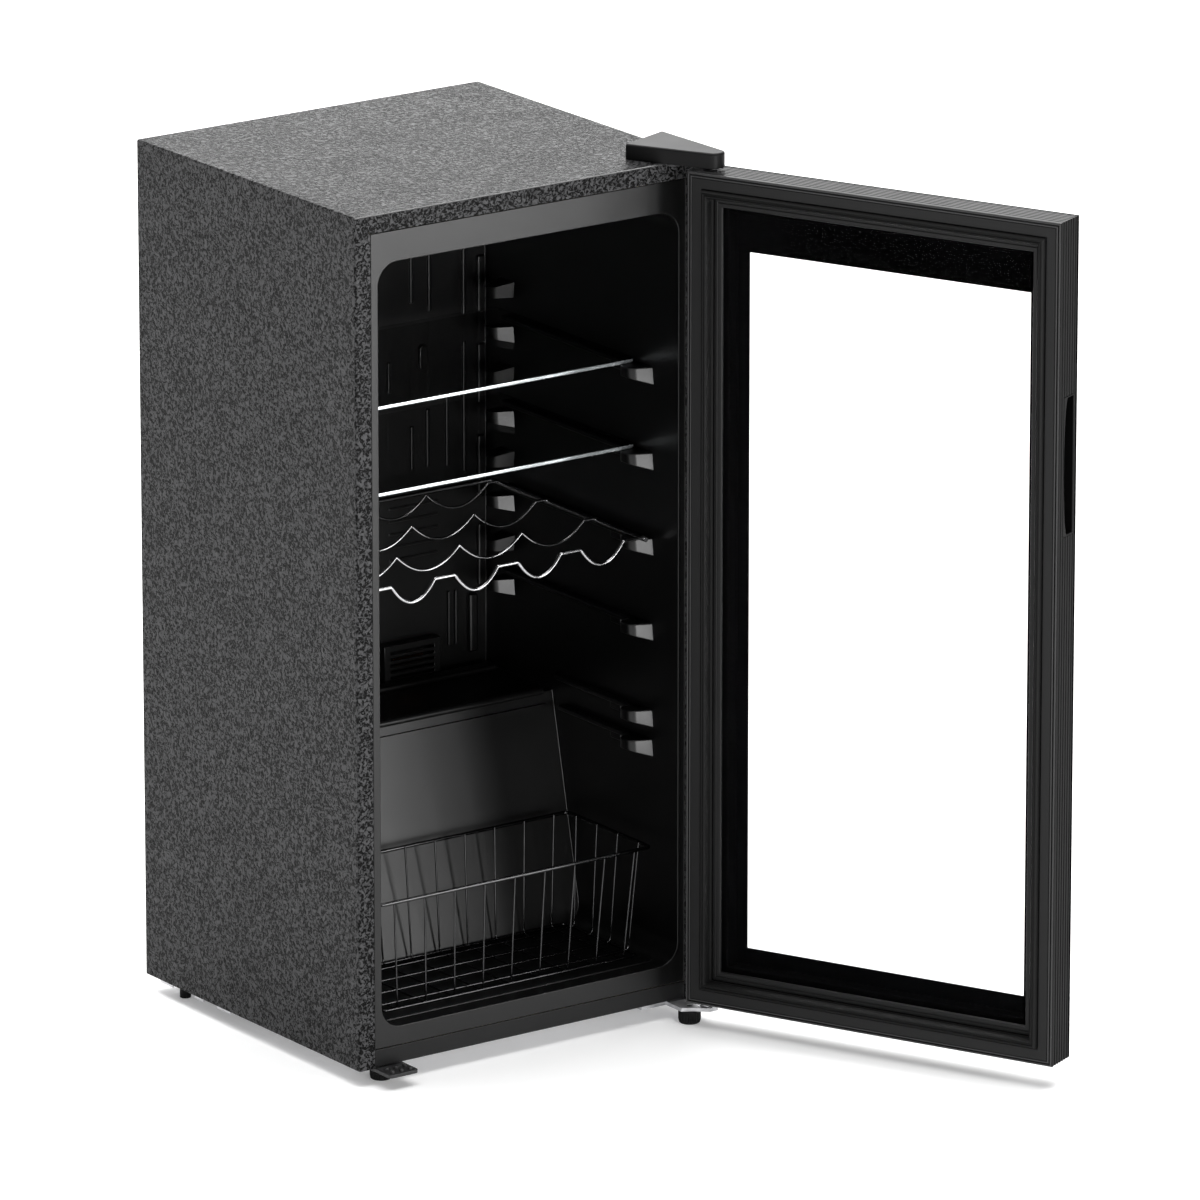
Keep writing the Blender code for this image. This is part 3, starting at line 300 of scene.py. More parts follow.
# a darker, duller copy of the frame's plastic: painted shade on the door's free edge; the grip cup
# uses it too
shadedEdgePlastic = mouldedPlastic("shadedEdgePlastic", 0.0018, 0.45, 1.0, 0.06)
# a lighter, glossier copy of the frame's plastic for the beads facing into the cabinet: painted
# highlight lines
beadHighlightPlastic = mouldedPlastic("beadHighlightPlastic", 0.02, 0.3, 0.3, 0.4)
# a lighter, glossier copy of the paint for the fold along the top's front edge: a painted highlight
# line
shellHighlight = mottled("paintedFoldHighlight", {"Specular IOR Level": 0.9}, (0.02, 3), grey(0.03),
                    grey(0.06, 1.03), (0.22, 0.1))
borderGlass = mottled("printedGlass", {"Specular IOR Level": 0.0}, (0.08, 2), grey(0.0006),
                      grey(0.0016, 1.1), (0.05, 0.05), ((0.08, 2), 0.00002))
# a near-white metallic finish for the shelves' front edges: a painted highlight
shelfEdgeHighlight = mottled("shelfEdgeGlint", {"Specular IOR Level": 0.9, "Metallic": 0.75},
                    (0.006, 3, 0.0, (0.3, 1, 1)), (0.55, 0.60, 0.62, 1),
                    (0.86, 0.90, 0.92, 1), (0.10, 0.14))
print("finishes made")


# making meshes
mergeWithin = 1e-6


def toMesh(bm, recalculate=True):
    if recalculate:
        bmesh.ops.recalc_face_normals(bm, faces=bm.faces)
    mesh = bpy.data.meshes.new("shape")
    bm.to_mesh(mesh)
    bm.free()
    return mesh


def boxMesh(low, high, round=0.0, steps=3):
    # a block, with its edges rounded
    bm = bmesh.new()
    bmesh.ops.create_cube(bm, size=1)
    low, high = Vector(low), Vector(high)
    bmesh.ops.scale(bm, vec=high - low, verts=bm.verts)
    bmesh.ops.translate(bm, vec=(low + high) / 2, verts=bm.verts)
    if round:
        softened(bm, bm.edges[:], round, steps)
    return toMesh(bm)


def roundedOutline(lowA, lowB, highA, highB, radius, steps=8):
    outline = []
    corners = ((highA - radius, highB - radius, 0), (lowA + radius, highB - radius, 90),
               (lowA + radius, lowB + radius, 180), (highA - radius, lowB + radius, 270))
    for a, b, start in corners:
        for step in range(steps + 1):
            angle = radians(start + 90 * step / steps)
            outline.append((a + radius * cos(angle), b + radius * sin(angle)))
    return outline


def prismMesh(outline, axis, low, high, round=0.0, steps=3):
    # an outline pushed along an axis, its two ends' rims rounded
    bm = bmesh.new()
    ends = []
    for at in (low, high):
        points = {"x": [(at, a, b) for a, b in outline], "y": [(a, at, b) for a, b in outline],
                  "z": [(a, b, at) for a, b in outline]}[axis]
        ends.append([bm.verts.new(point) for point in points])
    caps = [bm.faces.new(ends[0]), bm.faces.new(reversed(ends[1]))]
    count = len(outline)
    for i in range(count):
        j = (i + 1) % count
        bm.faces.new((ends[0][i], ends[1][i], ends[1][j], ends[0][j]))
    bmesh.ops.recalc_face_normals(bm, faces=bm.faces)
    if round:
        rims = list({edge for cap in caps for edge in cap.edges})
        softened(bm, rims, round, steps)
    return toMesh(bm)


def skinned(bm, lower, upper):
    # faces between two rings; a ring of one point is a pole
    count = max(len(lower), len(upper))
    for k in range(count):
        m = (k + 1) % count
        corners = [lower[k % len(lower)], lower[m % len(lower)],
                   upper[m % len(upper)], upper[k % len(upper)]]
        bm.faces.new(list(dict.fromkeys(corners)))


def turnedMesh(profile, x, y, sides=64, axis="z"):
    # (radius, height) points turned about a line, pole to pole
    bm = bmesh.new()
    rings = []
    for radius, z in profile:
        if radius == 0:
            rings.append([bm.verts.new((0, 0, z))])
            continue
        turns = [2 * pi * k / sides for k in range(sides)]
        rings.append([bm.verts.new((radius * cos(a), radius * sin(a), z)) for a in turns])
    for lower, upper in zip(rings, rings[1:]):
        skinned(bm, lower, upper)
    if axis == "y":
        bmesh.ops.transform(bm, matrix=Matrix.Rotation(-pi / 2, 4, "X"), verts=bm.verts)
    bmesh.ops.translate(bm, vec=(x, y, 0), verts=bm.verts)
    return toMesh(bm)


def arcPoints(a, b, radius, start, end, steps=5):
    return [(a + radius * cos(radians(start + (end - start) * k / steps)),
             b + radius * sin(radians(start + (end - start) * k / steps)))
            for k in range(steps + 1)]


def ringPoints(x, y, radius, z, sides):
    turns = [2 * pi * k / sides for k in range(sides)]
    return [(x + radius * cos(a), y + radius * sin(a), z) for a in turns]


def loopedMesh(rings):
    # rings of points skinned into a closed tube whose last ring meets the first
    bm = bmesh.new()
    loops = [[bm.verts.new(point) for point in ring] for ring in rings]
    for loop, after in zip(loops, loops[1:] + loops[:1]):
        skinned(bm, loop, after)
    return toMesh(bm)


def softened(bm, edges, round, steps=3):
    bmesh.ops.bevel(bm, geom=edges, offset=round, segments=steps, profile=0.5, affect="EDGES",
                    clamp_overlap=True)


def joined(meshes):
    bm = bmesh.new()
    for mesh in meshes:
        bm.from_mesh(mesh)
    return toMesh(bm, False)


def reworked(mesh, change):
    # the same mesh after a change made to its bmesh
    bm = bmesh.new()
    bm.from_mesh(mesh)
    change(bm)
    bm.to_mesh(mesh)
    bm.free()
    return mesh


def merged(bm):
    bmesh.ops.remove_doubles(bm, verts=bm.verts, dist=mergeWithin)


def helperObject(mesh):
    helper = bpy.data.objects.new("helper", mesh)
    bpy.context.scene.collection.objects.link(helper)
    return helper


def evaluated(helper):
    # the helper's mesh with its modifiers applied; the helper goes
    graph = bpy.context.evaluated_depsgraph_get()
    mesh = bpy.data.meshes.new_from_object(helper.evaluated_get(graph))
    helper.modifiers.clear()
    bpy.data.objects.remove(helper)
    return mesh


def combined(mesh, others, operation):
    base = helperObject(mesh)
    tools = [helperObject(other) for other in others]
    for tool in tools:
        step = base.modifiers.new("step", "BOOLEAN")
        step.operation = operation
        step.solver = "EXACT"
        step.object = tool
    made = evaluated(base)
    for tool in tools:
        bpy.data.objects.remove(tool)
    return reworked(made, merged)


def cadCopy(node):
    # a CAD node's shape, merged, with its flat faces whole again, in the cabinet's frame
    def flattened(bm):
        merged(bm)
        bmesh.ops.dissolve_limit(bm, angle_limit=radians(1), verts=bm.verts, edges=bm.edges)

    mesh = reworked(nodes[node].data.copy(), flattened)
    mesh.transform(toCabinet)
    return mesh


bevelAbove = radians(32)


def limitedBevel(thing, width, steps):
    edge = thing.modifiers.new("edge", "BEVEL")
    edge.width = width
    edge.segments = steps
    edge.limit_method = "ANGLE"
    edge.angle_limit = bevelAbove


def addPiece(name, mesh, body, slotName, replaced, round=0.0, steps=3, smooth=40,
             materials=None, place=toWorld):
    # a finished piece: in place, on its body, standing for its CAD nodes
    mesh.transform(place)
    mesh.name = name
    chosen = [face.material_index for face in mesh.polygons]
    mesh.materials.clear()
    for material in materials or [finishes[slotName]]:
        mesh.materials.append(material)
    if materials:
        mesh.polygons.foreach_set("material_index", chosen)
    mesh.shade_smooth()
    mesh.set_sharp_from_angle(angle=radians(smooth))
    piece = bpy.data.objects.new(name, mesh)
    bpy.context.scene.collection.objects.link(piece)
    if round:
        limitedBevel(piece, round, steps)
    level = piece.modifiers.new("flatFaces", "WEIGHTED_NORMAL")
    level.keep_sharp = True
    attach(piece, body)
    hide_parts(*replaced)


# geometry node trees, for wires and for repeats
def addNode(tree, kind, settings=None, inputs=None):
    node = tree.nodes.new(kind)
    for label, value in (settings or {}).items():
        setattr(node, label, value)
    for label, value in (inputs or {}).items():
        if isinstance(value, bpy.types.NodeSocket):
            tree.links.new(value, node.inputs[label])
        else:
            node.inputs[label].default_value = value
    return node


def newTree(name, sockets):
    tree = bpy.data.node_groups.new(name, "GeometryNodeTree")
    tree.interface.new_socket("Geometry", in_out="INPUT", socket_type="NodeSocketGeometry")
    for label, kind in sockets:
        tree.interface.new_socket(label, in_out="INPUT", socket_type=kind)
    tree.interface.new_socket("Geometry", in_out="OUTPUT", socket_type="NodeSocketGeometry")
    return tree, tree.nodes.new("NodeGroupInput")


def closeTree(tree, geometry, material):
    real = addNode(tree, "GeometryNodeRealizeInstances", inputs={0: geometry})
    coated = addNode(tree, "GeometryNodeSetMaterial",
                     inputs={"Geometry": real.outputs[0], "Material": material})
    addNode(tree, "NodeGroupOutput", inputs={0: coated.outputs[0]})


def makeWireTree():
    # lines of a mesh become round wires; each point's wireRadius is its wire's radius
    tree, start = newTree("roundWires", (("Bend radius", "NodeSocketFloat"),
                                         ("Sides", "NodeSocketInt"),
                                         ("Material", "NodeSocketMaterial")))
    line = addNode(tree, "GeometryNodeMeshToCurve", inputs={"Mesh": start.outputs["Geometry"]})
    bends = addNode(tree, "GeometryNodeFilletCurve", {"mode": "POLY"},
                    {"Curve": line.outputs[0], "Count": 6, "Limit Radius": True,
                     "Radius": start.outputs["Bend radius"]})
    radius = addNode(tree, "GeometryNodeInputNamedAttribute", {"data_type": "FLOAT"},
                     {"Name": "wireRadius"})
    section = addNode(tree, "GeometryNodeCurvePrimitiveCircle", {"mode": "RADIUS"},
                      {"Resolution": start.outputs["Sides"], "Radius": 1.0})
    tube = addNode(tree, "GeometryNodeCurveToMesh",
                   inputs={"Curve": bends.outputs[0], "Profile Curve": section.outputs[0],
                           "Scale": radius.outputs[0], "Fill Caps": True})
    closeTree(tree, tube.outputs[0], start.outputs["Material"])
    return tree


def makeRepeatTree():
    # a template stands on every point, turned by the point's turn
    tree, start = newTree("repeatedShape", (("Template", "NodeSocketObject"),
                                            ("Size", "NodeSocketFloat"),
                                            ("Material", "NodeSocketMaterial")))
    shape = addNode(tree, "GeometryNodeObjectInfo", inputs={"Object": start.outputs["Template"]})
    turn = addNode(tree, "GeometryNodeInputNamedAttribute", {"data_type": "FLOAT_VECTOR"},
                   {"Name": "turn"})
    copies = addNode(tree, "GeometryNodeInstanceOnPoints",
                     inputs={"Points": start.outputs["Geometry"],
                             "Instance": shape.outputs["Geometry"], "Rotation": turn.outputs[0],
                             "Scale": start.outputs["Size"]})
    closeTree(tree, copies.outputs[0], start.outputs["Material"])
    return tree


wireTree = makeWireTree()
repeatTree = makeRepeatTree()


def throughTree(mesh, tree, settings):
    helper = helperObject(mesh)
    nodesStep = helper.modifiers.new("shape", "NODES")
    nodesStep.node_group = tree
    for item in tree.interface.items_tree:
        if item.in_out == "INPUT" and item.name in settings:
            nodesStep[item.identifier] = settings[item.name]
    return evaluated(helper)


def wires(runs, bend=0.004, sides=14, material=None):
    # runs are (points, radius, closed)
    bm = bmesh.new()
    layer = bm.verts.layers.float.new("wireRadius")
    for points, radius, closed in runs:
        line = [bm.verts.new(point) for point in points]
        for vertex in line:
            vertex[layer] = radius
        for first, second in zip(line, line[1:] + line[:1] if closed else line[1:]):
            bm.edges.new((first, second))
    made = throughTree(toMesh(bm, False), wireTree, {
        "Bend radius": bend, "Sides": sides, "Material": material or finishes["chrome"]})
    return reworked(made, lambda tube: bmesh.ops.recalc_face_normals(tube, faces=tube.faces))


def repeated(template, places, material, size=1.0):
    # places are (point, turn)
    bm = bmesh.new()
    layer = bm.verts.layers.float_vector.new("turn")
    for point, turn in places:
        vertex = bm.verts.new(point)
        vertex[layer] = turn
    helper = helperObject(template)
    made = throughTree(toMesh(bm, False), repeatTree,
                       {"Template": helper, "Size": size, "Material": material})
    bpy.data.objects.remove(helper)
    return made


# cabinet shell
shellForm = {"sheet": 0.0012, "flange": 0.019, "bend": 0.0022, "seam": 0.00015,
             "edge": 0.0003, "highlightFrom": 0.35}


def makeShell():
    form = shellForm
    width, height, depth = cabinetWidth, cabinetHeight, cabinetDepth
    flange, seam = form["flange"], form["seam"]
    bm = bmesh.new()
    walls = (
        [(0, 0, 0), (0, depth, 0), (0, depth, height), (0, 0, height)],
        [(0, 0, height), (0, depth, height), (width, depth, height), (width, 0, height)],
        [(width, 0, 0), (width, 0, height), (width, depth, height), (width, depth, 0)],
    )
    for corners in walls:
        bm.faces.new([bm.verts.new(corner) for corner in corners])
    merged(bm)
    corner = {tuple(round(value, 5) for value in vertex.co): vertex for vertex in bm.verts}

    def at(x, y, z):
        return corner[(round(x, 5), round(y, 5), round(z, 5))]

    inner = height - flange
    leftInner = [bm.verts.new((flange, 0, inner - seam)), bm.verts.new((flange, 0, 0))]
    bm.faces.new((at(0, 0, 0), at(0, 0, height), leftInner[0], leftInner[1]))
    topInner = [bm.verts.new((flange + seam, 0, inner)),
                bm.verts.new((width - flange - seam, 0, inner))]
    bm.faces.new((at(0, 0, height), at(width, 0, height), topInner[1], topInner[0]))
    rightInner = [bm.verts.new((width - flange, 0, 0)),
                  bm.verts.new((width - flange, 0, inner - seam))]
    bm.faces.new((at(width, 0, height), at(width, 0, 0), rightInner[0], rightInner[1]))
    folds = [edge for edge in bm.edges if len(edge.link_faces) == 2]
    softened(bm, folds, form["bend"], 4)
    bmesh.ops.recalc_face_normals(bm, faces=bm.faces)
    middle = Vector((width / 2, depth / 2, height / 2))
    outward = sum((face.calc_center_median() - middle).dot(face.normal) for face in bm.faces)
    if outward < 0:
        bmesh.ops.reverse_faces(bm, faces=bm.faces)
    helper = helperObject(toMesh(bm, False))
    wall = helper.modifiers.new("wall", "SOLIDIFY")
    wall.thickness = form["sheet"]
    wall.offset = -1
    wall.use_even_offset = True
    mesh = evaluated(helper)
    for face in mesh.polygons:
        # the fold along the top's front edge gets a lighter, glossier paint: a painted highlight
        # line
        if face.normal.z > form["highlightFrom"] and face.normal.y < -form["highlightFrom"]:
            face.material_index = 1
    addPiece("cabinetShell", mesh, "cabinet", "hammered_paint", ["outer_shell"], form["edge"], 2,
             35, materials=[finishes["hammered_paint"], shellHighlight])


makeShell()
print("shell made")


# liner
linerForm = {
    "wall": 0.002, "topRadius": 0.024, "lugReach": 0.023, "lugLength": 0.032, "tipRound": 0.008,
    "holderLength": 0.026, "edge": 0.0012, "ribProud": 0.0022, "rimRound": 0.0019,
    "draft": 0.12, "slant": 0.42, "lugTall": 0.019, "lugTipTall": 0.011, "lugMiddle": 0.060,
    "holderTall": 0.017, "holderFromBack": 0.040, "holderUp": 0.020, "holderDown": 0.012,
    "firstRail": 0.177, "railPitch": 0.092, "stepRails": [0.306, 0.274],
    "ledgeReach": 0.009, "ledgeTall": 0.005, "ledgeShort": 0.02, "stopMiddle": 0.104,
    "sunk": 0.001,
    "stopLow": (-0.006, -0.010, -0.0133), "stopHigh": (0.001, 0.010, -0.0003), "stopRound": 0.002,
}
linerLow, linerHigh = cabinetBox("inner_liner")
sideFlange = linerLow.x
cavityBack = linerHigh.y - linerForm["wall"]
cavity = {
    "left": 0.028, "right": cabinetWidth - 0.028, "floor": 0.041, "top": cabinetHeight - 0.052,
    "back": cavityBack, "step": 0.284, "stepFront": cavityBack - 0.121,
    "slopeFoot": cavityBack - 0.174,
}
firstRail = cavity["top"] - linerForm["firstRail"]
railTops = [firstRail - linerForm["railPitch"] * level for level in range(4)]
railTops += linerForm["stepRails"]


def slopeAt(z):
    share = (z - cavity["floor"]) / (cavity["step"] - cavity["floor"])
    return cavity["slopeFoot"] + share * (cavity["stepFront"] - cavity["slopeFoot"])


def cavityMesh(grown, front):
    low, step, high = cavity["floor"] - grown, cavity["step"] - grown, cavity["top"] + grown
    back = cavity["back"] + grown
    section = [(front, low), (slopeAt(low) + grown, low), (slopeAt(step) + grown, step),
               (back, step), (back, high), (front, high)]
    body = prismMesh(section, "x", cavity["left"] - grown, cavity["right"] + grown)
    outline = roundedOutline(cavity["left"] - grown, low, cavity["right"] + grown, high,
                             linerForm["topRadius"] + grown, 10)
    return combined(body, [prismMesh(outline, "y", front - 0.01, back + 0.01)], "INTERSECT")


def lugMesh(length, tall, tipTall, up=False):
    # a moulded support standing out of the right wall towards -x, its lit face at the front
    reach, tip = linerForm["lugReach"], linerForm["tipRound"]
    sunk = linerForm["sunk"]
    outline = [(sunk, -length / 2), (sunk, length / 2)]
    outline += arcPoints(-reach + tip, length / 2 - tip, tip, 90, 180, 5)
    outline += arcPoints(-reach + tip, -length / 2 + tip, tip, 180, 270, 5)
    bm = bmesh.new()
    bm.from_mesh(prismMesh(outline, "z", -tall, 0))
    for vertex in bm.verts:
        if vertex.co.z < -tall / 2:
            share = min(1, max(0, -vertex.co.x / reach))
            vertex.co.z += (tall - tipTall) * share
    for vertex in bm.verts:
        if vertex.co.y < 0:
            vertex.co.y += (vertex.co.z + tall) * linerForm["draft"]
            vertex.co.y += -vertex.co.x * linerForm["slant"]
    if up:
        bmesh.ops.scale(bm, vec=(1, 1, -1), verts=bm.verts)
        bmesh.ops.recalc_face_normals(bm, faces=bm.faces)
    edges = [edge for edge in bm.edges if edge.calc_face_angle(0) > radians(40)]
    softened(bm, edges, linerForm["edge"])
    return toMesh(bm)


def linerSupports():
    # front lugs, rear holders, small stops and the ledges between them, on both walls
    form = linerForm
    sides = ((cavity["right"], 0), (cavity["left"], pi))
    frontY, backY = form["lugMiddle"], cavity["back"] - form["holderFromBack"]
    tall, tipTall, length = form["holderTall"], form["lugTipTall"], form["holderLength"]
    backTops = railTops[:4]
    kinds = (
        (lugMesh(form["lugLength"], form["lugTall"], tipTall), frontY, railTops, 0),
        (lugMesh(length, tall, tipTall, True), backY, backTops, form["holderUp"]),
        (lugMesh(length, tall, tipTall), backY, backTops, -form["holderDown"]),
        (boxMesh(form["stopLow"], form["stopHigh"], form["stopRound"]), form["stopMiddle"],
         railTops, 0),
    )
    shapes = []
    for template, y, tops, offset in kinds:
        spots = [((x, y, top + offset), (0, 0, turn)) for x, turn in sides for top in tops]
        shapes.append(repeated(template, spots, finishes["liner_plastic"]))
    for x, turn in sides:
        inward = -1 if turn == 0 else 1
        for index, top in enumerate(railTops):
            end = backY if index < 4 else slopeAt(top) - form["ledgeShort"]
            near, far = sorted((x - inward * form["sunk"], x + inward * form["ledgeReach"]))
            shapes.append(boxMesh((near, frontY, top - form["ledgeTall"]), (far, end, top),
                                  form["edge"]))
    return shapes


# upright ribs (from the middle, low, high), pockets' edges (low, high), louvre lines, and
# narrow bars (near, far, low, high, times as proud)
reliefForm = {
    "ribs": ((0.092, 0.693, 0.835), (0.115, 0.681, 0.838), (0.159, 0.671, 0.838),
             (0.159, 0.500, 0.642), (0.137, 0.509, 0.588), (0.063, 0.600, 0.634),
             (0.112, 0.512, 0.576), (0.092, 0.512, 0.560)),
    "ribHalf": 0.0025,
    "pockets": ((0.671, 0.733), (0.572, 0.637), (0.470, 0.537), (0.372, 0.440)),
    "pocketAt": 0.180, "pocketHalf": 0.005, "pocketProud": 1.6,
    "lines": (0.416, 0.430, 0.444, 0.458, 0.472), "lineSpan": (0.062, 0.125),
    "lineTall": 0.003, "lineProud": 0.5,
    "bars": ((0.136, 0.139, 0.312, 0.372, 1.4), (0.145, 0.148, 0.312, 0.372, 1.4),
             (0.162, 0.174, 0.300, 0.365, 2.4)),
    "boss": (0.100, 0.619, 0.111, 0.647, 0.0054), "bossProud": 0.004, "bossRound": 0.0015,
    "arcAt": 0.040, "arcHeight": 0.800, "arcRadius": 0.050, "arcTurn": 88, "arcWire": 0.0016,
}


def backWallRelief():
    # ribs, pockets and panels pressed into the back wall
    form = reliefForm
    wall = cavity["back"]
    middle = cabinetWidth / 2
    proud, behind = linerForm["ribProud"], cavity["back"] + linerForm["sunk"]
    bars = []
    for side in (1, -1):
        for offset, low, high in form["ribs"]:
            at = middle + side * offset
            bars.append((at - form["ribHalf"], low, at + form["ribHalf"], high, proud))
        at = middle + side * form["pocketAt"]
        for low, high in form["pockets"]:
            bars.append((at - form["pocketHalf"], low, at + form["pocketHalf"], high,
                         proud * form["pocketProud"]))
        near, far = sorted(middle + side * offset for offset in form["lineSpan"])
        for low in form["lines"]:
            bars.append((near, low, far, low + form["lineTall"], proud * form["lineProud"]))
        for inner, outer, low, high, share in form["bars"]:
            near, far = sorted((middle + side * inner, middle + side * outer))
            bars.append((near, low, far, high, proud * share))
    shapes = []
    for lowX, lowZ, highX, highZ, out in bars:
        small = min(highX - lowX, highZ - lowZ)
        shapes.append(boxMesh((lowX, wall - out, lowZ), (highX, behind, highZ),
                              min(small * 0.45, out * 0.9), 4))
    # the fastener's oval boss
    lowX, lowZ, highX, highZ, radius = form["boss"]
    boss = roundedOutline(middle + lowX, lowZ, middle + highX, highZ, radius)
    shapes.append(prismMesh(boss, "y", wall - form["bossProud"], behind, form["bossRound"]))
    # the quarter round press line near the top
    for side in (1, -1):
        arc = arcPoints(middle + side * form["arcAt"], form["arcHeight"], form["arcRadius"], -90,
                        -90 + side * form["arcTurn"], 14)
        line = [(x, wall, z) for x, z in arc]
        shapes.append(wires([(line, form["arcWire"], False)], 0.001, 10,
                            finishes["liner_plastic"]))
    return shapes


stepForm = {"panelIn": 0.012, "panelUp": 0.004, "panelDown": 0.012, "panelProud": 0.0035,
            "panelSunk": 0.002,
            "rollBehind": 0.003, "rollUnder": 0.0005, "rollRadius": 0.0045,
            "ledgeFrom": 0.030, "ledgeTo": 0.014, "ledgeTall": 0.0065, "ledgeRound": 0.003,
            "ledgeRight": 0.006, "sillFrom": 0.020, "sillTo": 0.0235, "sillTall": 0.0013,
            "sillRound": 0.0012}


def stepRelief():
    # raised panel on the sloping face, rolled front edge of the step, ledge at its back, and
    # the bead behind the sill
    form = stepForm
    low, high = cavity["floor"] + form["panelUp"], cavity["step"] - form["panelDown"]
    left, right = cavity["left"] + form["panelIn"], cavity["right"] - form["panelIn"]
    proud, sunk = form["panelProud"], form["panelSunk"]
    section = [(slopeAt(low) - proud, low), (slopeAt(low) + sunk, low),
               (slopeAt(high) + sunk, high), (slopeAt(high) - proud, high)]
    y, z = cavity["stepFront"] + form["rollBehind"], cavity["step"] - form["rollUnder"]
    roll = [(left, y, z), (right, y, z)]
    return [
        prismMesh(section, "x", left, right),
        wires([(roll, form["rollRadius"], False)], 0.001, 20, finishes["liner_plastic"]),
        boxMesh((left, cavity["back"] - form["ledgeFrom"], cavity["step"] - 0.001),
                (cavity["right"] - form["ledgeRight"], cavity["back"] - form["ledgeTo"],
                 cavity["step"] + form["ledgeTall"]), form["ledgeRound"], 4),
        boxMesh((left, form["sillFrom"], cavity["floor"] - 0.001),
                (right, form["sillTo"], cavity["floor"] + form["sillTall"]), form["sillRound"]),
    ]


def makeLiner():
    wall = linerForm["wall"]
    rim = boxMesh((sideFlange, 0, linerLow.z), (cabinetWidth - sideFlange, wall, linerHigh.z))
    base = combined(cavityMesh(wall, 0.0005), [rim], "UNION")
    base = combined(base, [cavityMesh(0, -0.02)], "DIFFERENCE")
    helper = helperObject(base)
    limitedBevel(helper, linerForm["rimRound"], 4)
    body = evaluated(helper)
    details = linerSupports() + backWallRelief() + stepRelief()
    addPiece("innerLiner", joined([body] + details), "cabinet", "liner_plastic", ["inner_liner"],
             smooth=38)


makeLiner()
print("liner made")


# shelves, rack and basket
shelfForm = {"corner": 0.010, "edge": 0.0009}


def makeShelf(node, name):
    low, high = cabinetBox(node)
    outline = roundedOutline(low.x, low.y, high.x, high.y, shelfForm["corner"], 10)
    mesh = prismMesh(outline, "z", low.z, high.z, shelfForm["edge"])
    addPiece(name, mesh, node, "clear_glass", [node], smooth=35,
             materials=[shelfGlass, shelfEdgeHighlight])
    # only the front edge gets the bright near-white finish: a painted highlight
    for face in mesh.polygons:
        if face.normal.y < -0.6:
            face.material_index = 1


makeShelf("shelf_upper", "upperShelf")
makeShelf("shelf_lower", "lowerShelf")

rackForm = {"pitch": 0.079, "dip": 0.020, "flatCrest": 0.32, "rail": 0.0025, "frontWire": 0.002,
            "wire": 0.0015, "rows": 4, "bare": 0.020, "steps": 18, "front": 0.040,
            "fromBack": 0.025, "above": 0.0003, "barIn": 0.004, "pastFront": 0.0025,
            "shortBack": 0.0005}


def wavePoints(left, right, y, z, flat):
    # four dips in a row, with a flat share between them
    middle, pitch = (left + right) / 2, rackForm["pitch"]
    span = pitch * (1 - flat)
    points = [(left, y, z)]
    for dip in range(4):
        start = middle + (dip - 2) * pitch + (pitch - span) / 2
        for step in range(rackForm["steps"] + 1):
            share = step / rackForm["steps"]
            if flat or step or not dip:
                drop = 4 * rackForm["dip"] * share * (1 - share)
                points.append((start + share * span, y, z - drop))
    points.append((right, y, z))
    return points


def makeRack():
    form = rackForm
    low, high = cabinetBox("wine_rack")
    rail = form["rail"]
    left, right = low.x + rail, high.x - rail
    front, back = form["front"], cavity["back"] - form["fromBack"]
    z = railTops[2] + form["above"] + rail
    spacing = (back - form["bare"] - front) / (form["rows"] - 1)
    ends = (front - form["pastFront"], back - form["shortBack"])
    runs = [([(x, y, z) for y in ends], rail, False) for x in (left, right)]
    bar = back - form["barIn"]
    runs.append(([(left, bar, z), (right, bar, z)], rail, False))
    runs.append((wavePoints(left, right, front, z + rail, form["flatCrest"]), form["frontWire"],
                 False))
    for row in range(1, form["rows"]):
        runs.append((wavePoints(left, right, front + row * spacing, z + rail, 0), form["wire"],
                     False))
    addPiece("wineRack", wires(runs, 0.002), "wine_rack", "chrome", ["wine_rack"], smooth=60)


basketForm = {"rim": 0.0020, "wire": 0.0010, "alongFront": 9, "alongSide": 4, "taper": 0.010,
              "fromSlope": 0.008, "hook": 0.4, "bend": 0.006, "floorWire": 1.3}


def makeBasket():
    form = basketForm
    low, high = cabinetBox("basket")
    rim, thin = form["rim"], form["wire"]
    left, right, front, back = low.x + rim, high.x - rim, low.y + rim, high.y - rim
    top, bottom = high.z - rim, low.z + 2 * thin
    taper, hook = form["taper"], top + rim * form["hook"]
    floorLeft, floorRight = left + taper, right - taper
    floorFront = front + taper
    floorBack = min(back - taper, slopeAt(bottom) - form["fromSlope"])
    corners = [(left, front), (right, front), (right, back), (left, back)]
    runs = [([(x, y, top) for x, y in corners], rim, True)]
    corners = [(floorLeft, floorFront), (floorRight, floorFront), (floorRight, floorBack),
               (floorLeft, floorBack)]
    runs.append(([(x, y, bottom) for x, y in corners], thin * form["floorWire"], True))
    count = form["alongFront"]
    for i in range(count):
        share = (i + 0.5) / count
        topX = left + (right - left) * share
        lowX = floorLeft + (floorRight - floorLeft) * share
        # one wire runs down the front, under the floor and up the back
        runs.append(([(topX, front + rim, hook), (lowX, floorFront, bottom - thin),
                      (lowX, floorBack, bottom - thin), (topX, back - rim, hook)],
                     thin, False))
    count = form["alongSide"]
    for i in range(count):
        share = (i + 0.5) / count
        topY = front + (back - front) * share
        lowY = floorFront + (floorBack - floorFront) * share
        runs.append(([(left + rim, topY, hook), (floorLeft, lowY, bottom + thin),
                      (floorRight, lowY, bottom + thin), (right - rim, topY, hook)],
                     thin, False))
    addPiece("wireBasket", wires(runs, form["bend"], 12), "basket", "chrome", ["basket"], smooth=60,
             materials=[shadedBasketChrome])


makeRack()
makeBasket()
print("shelves, rack and basket made")


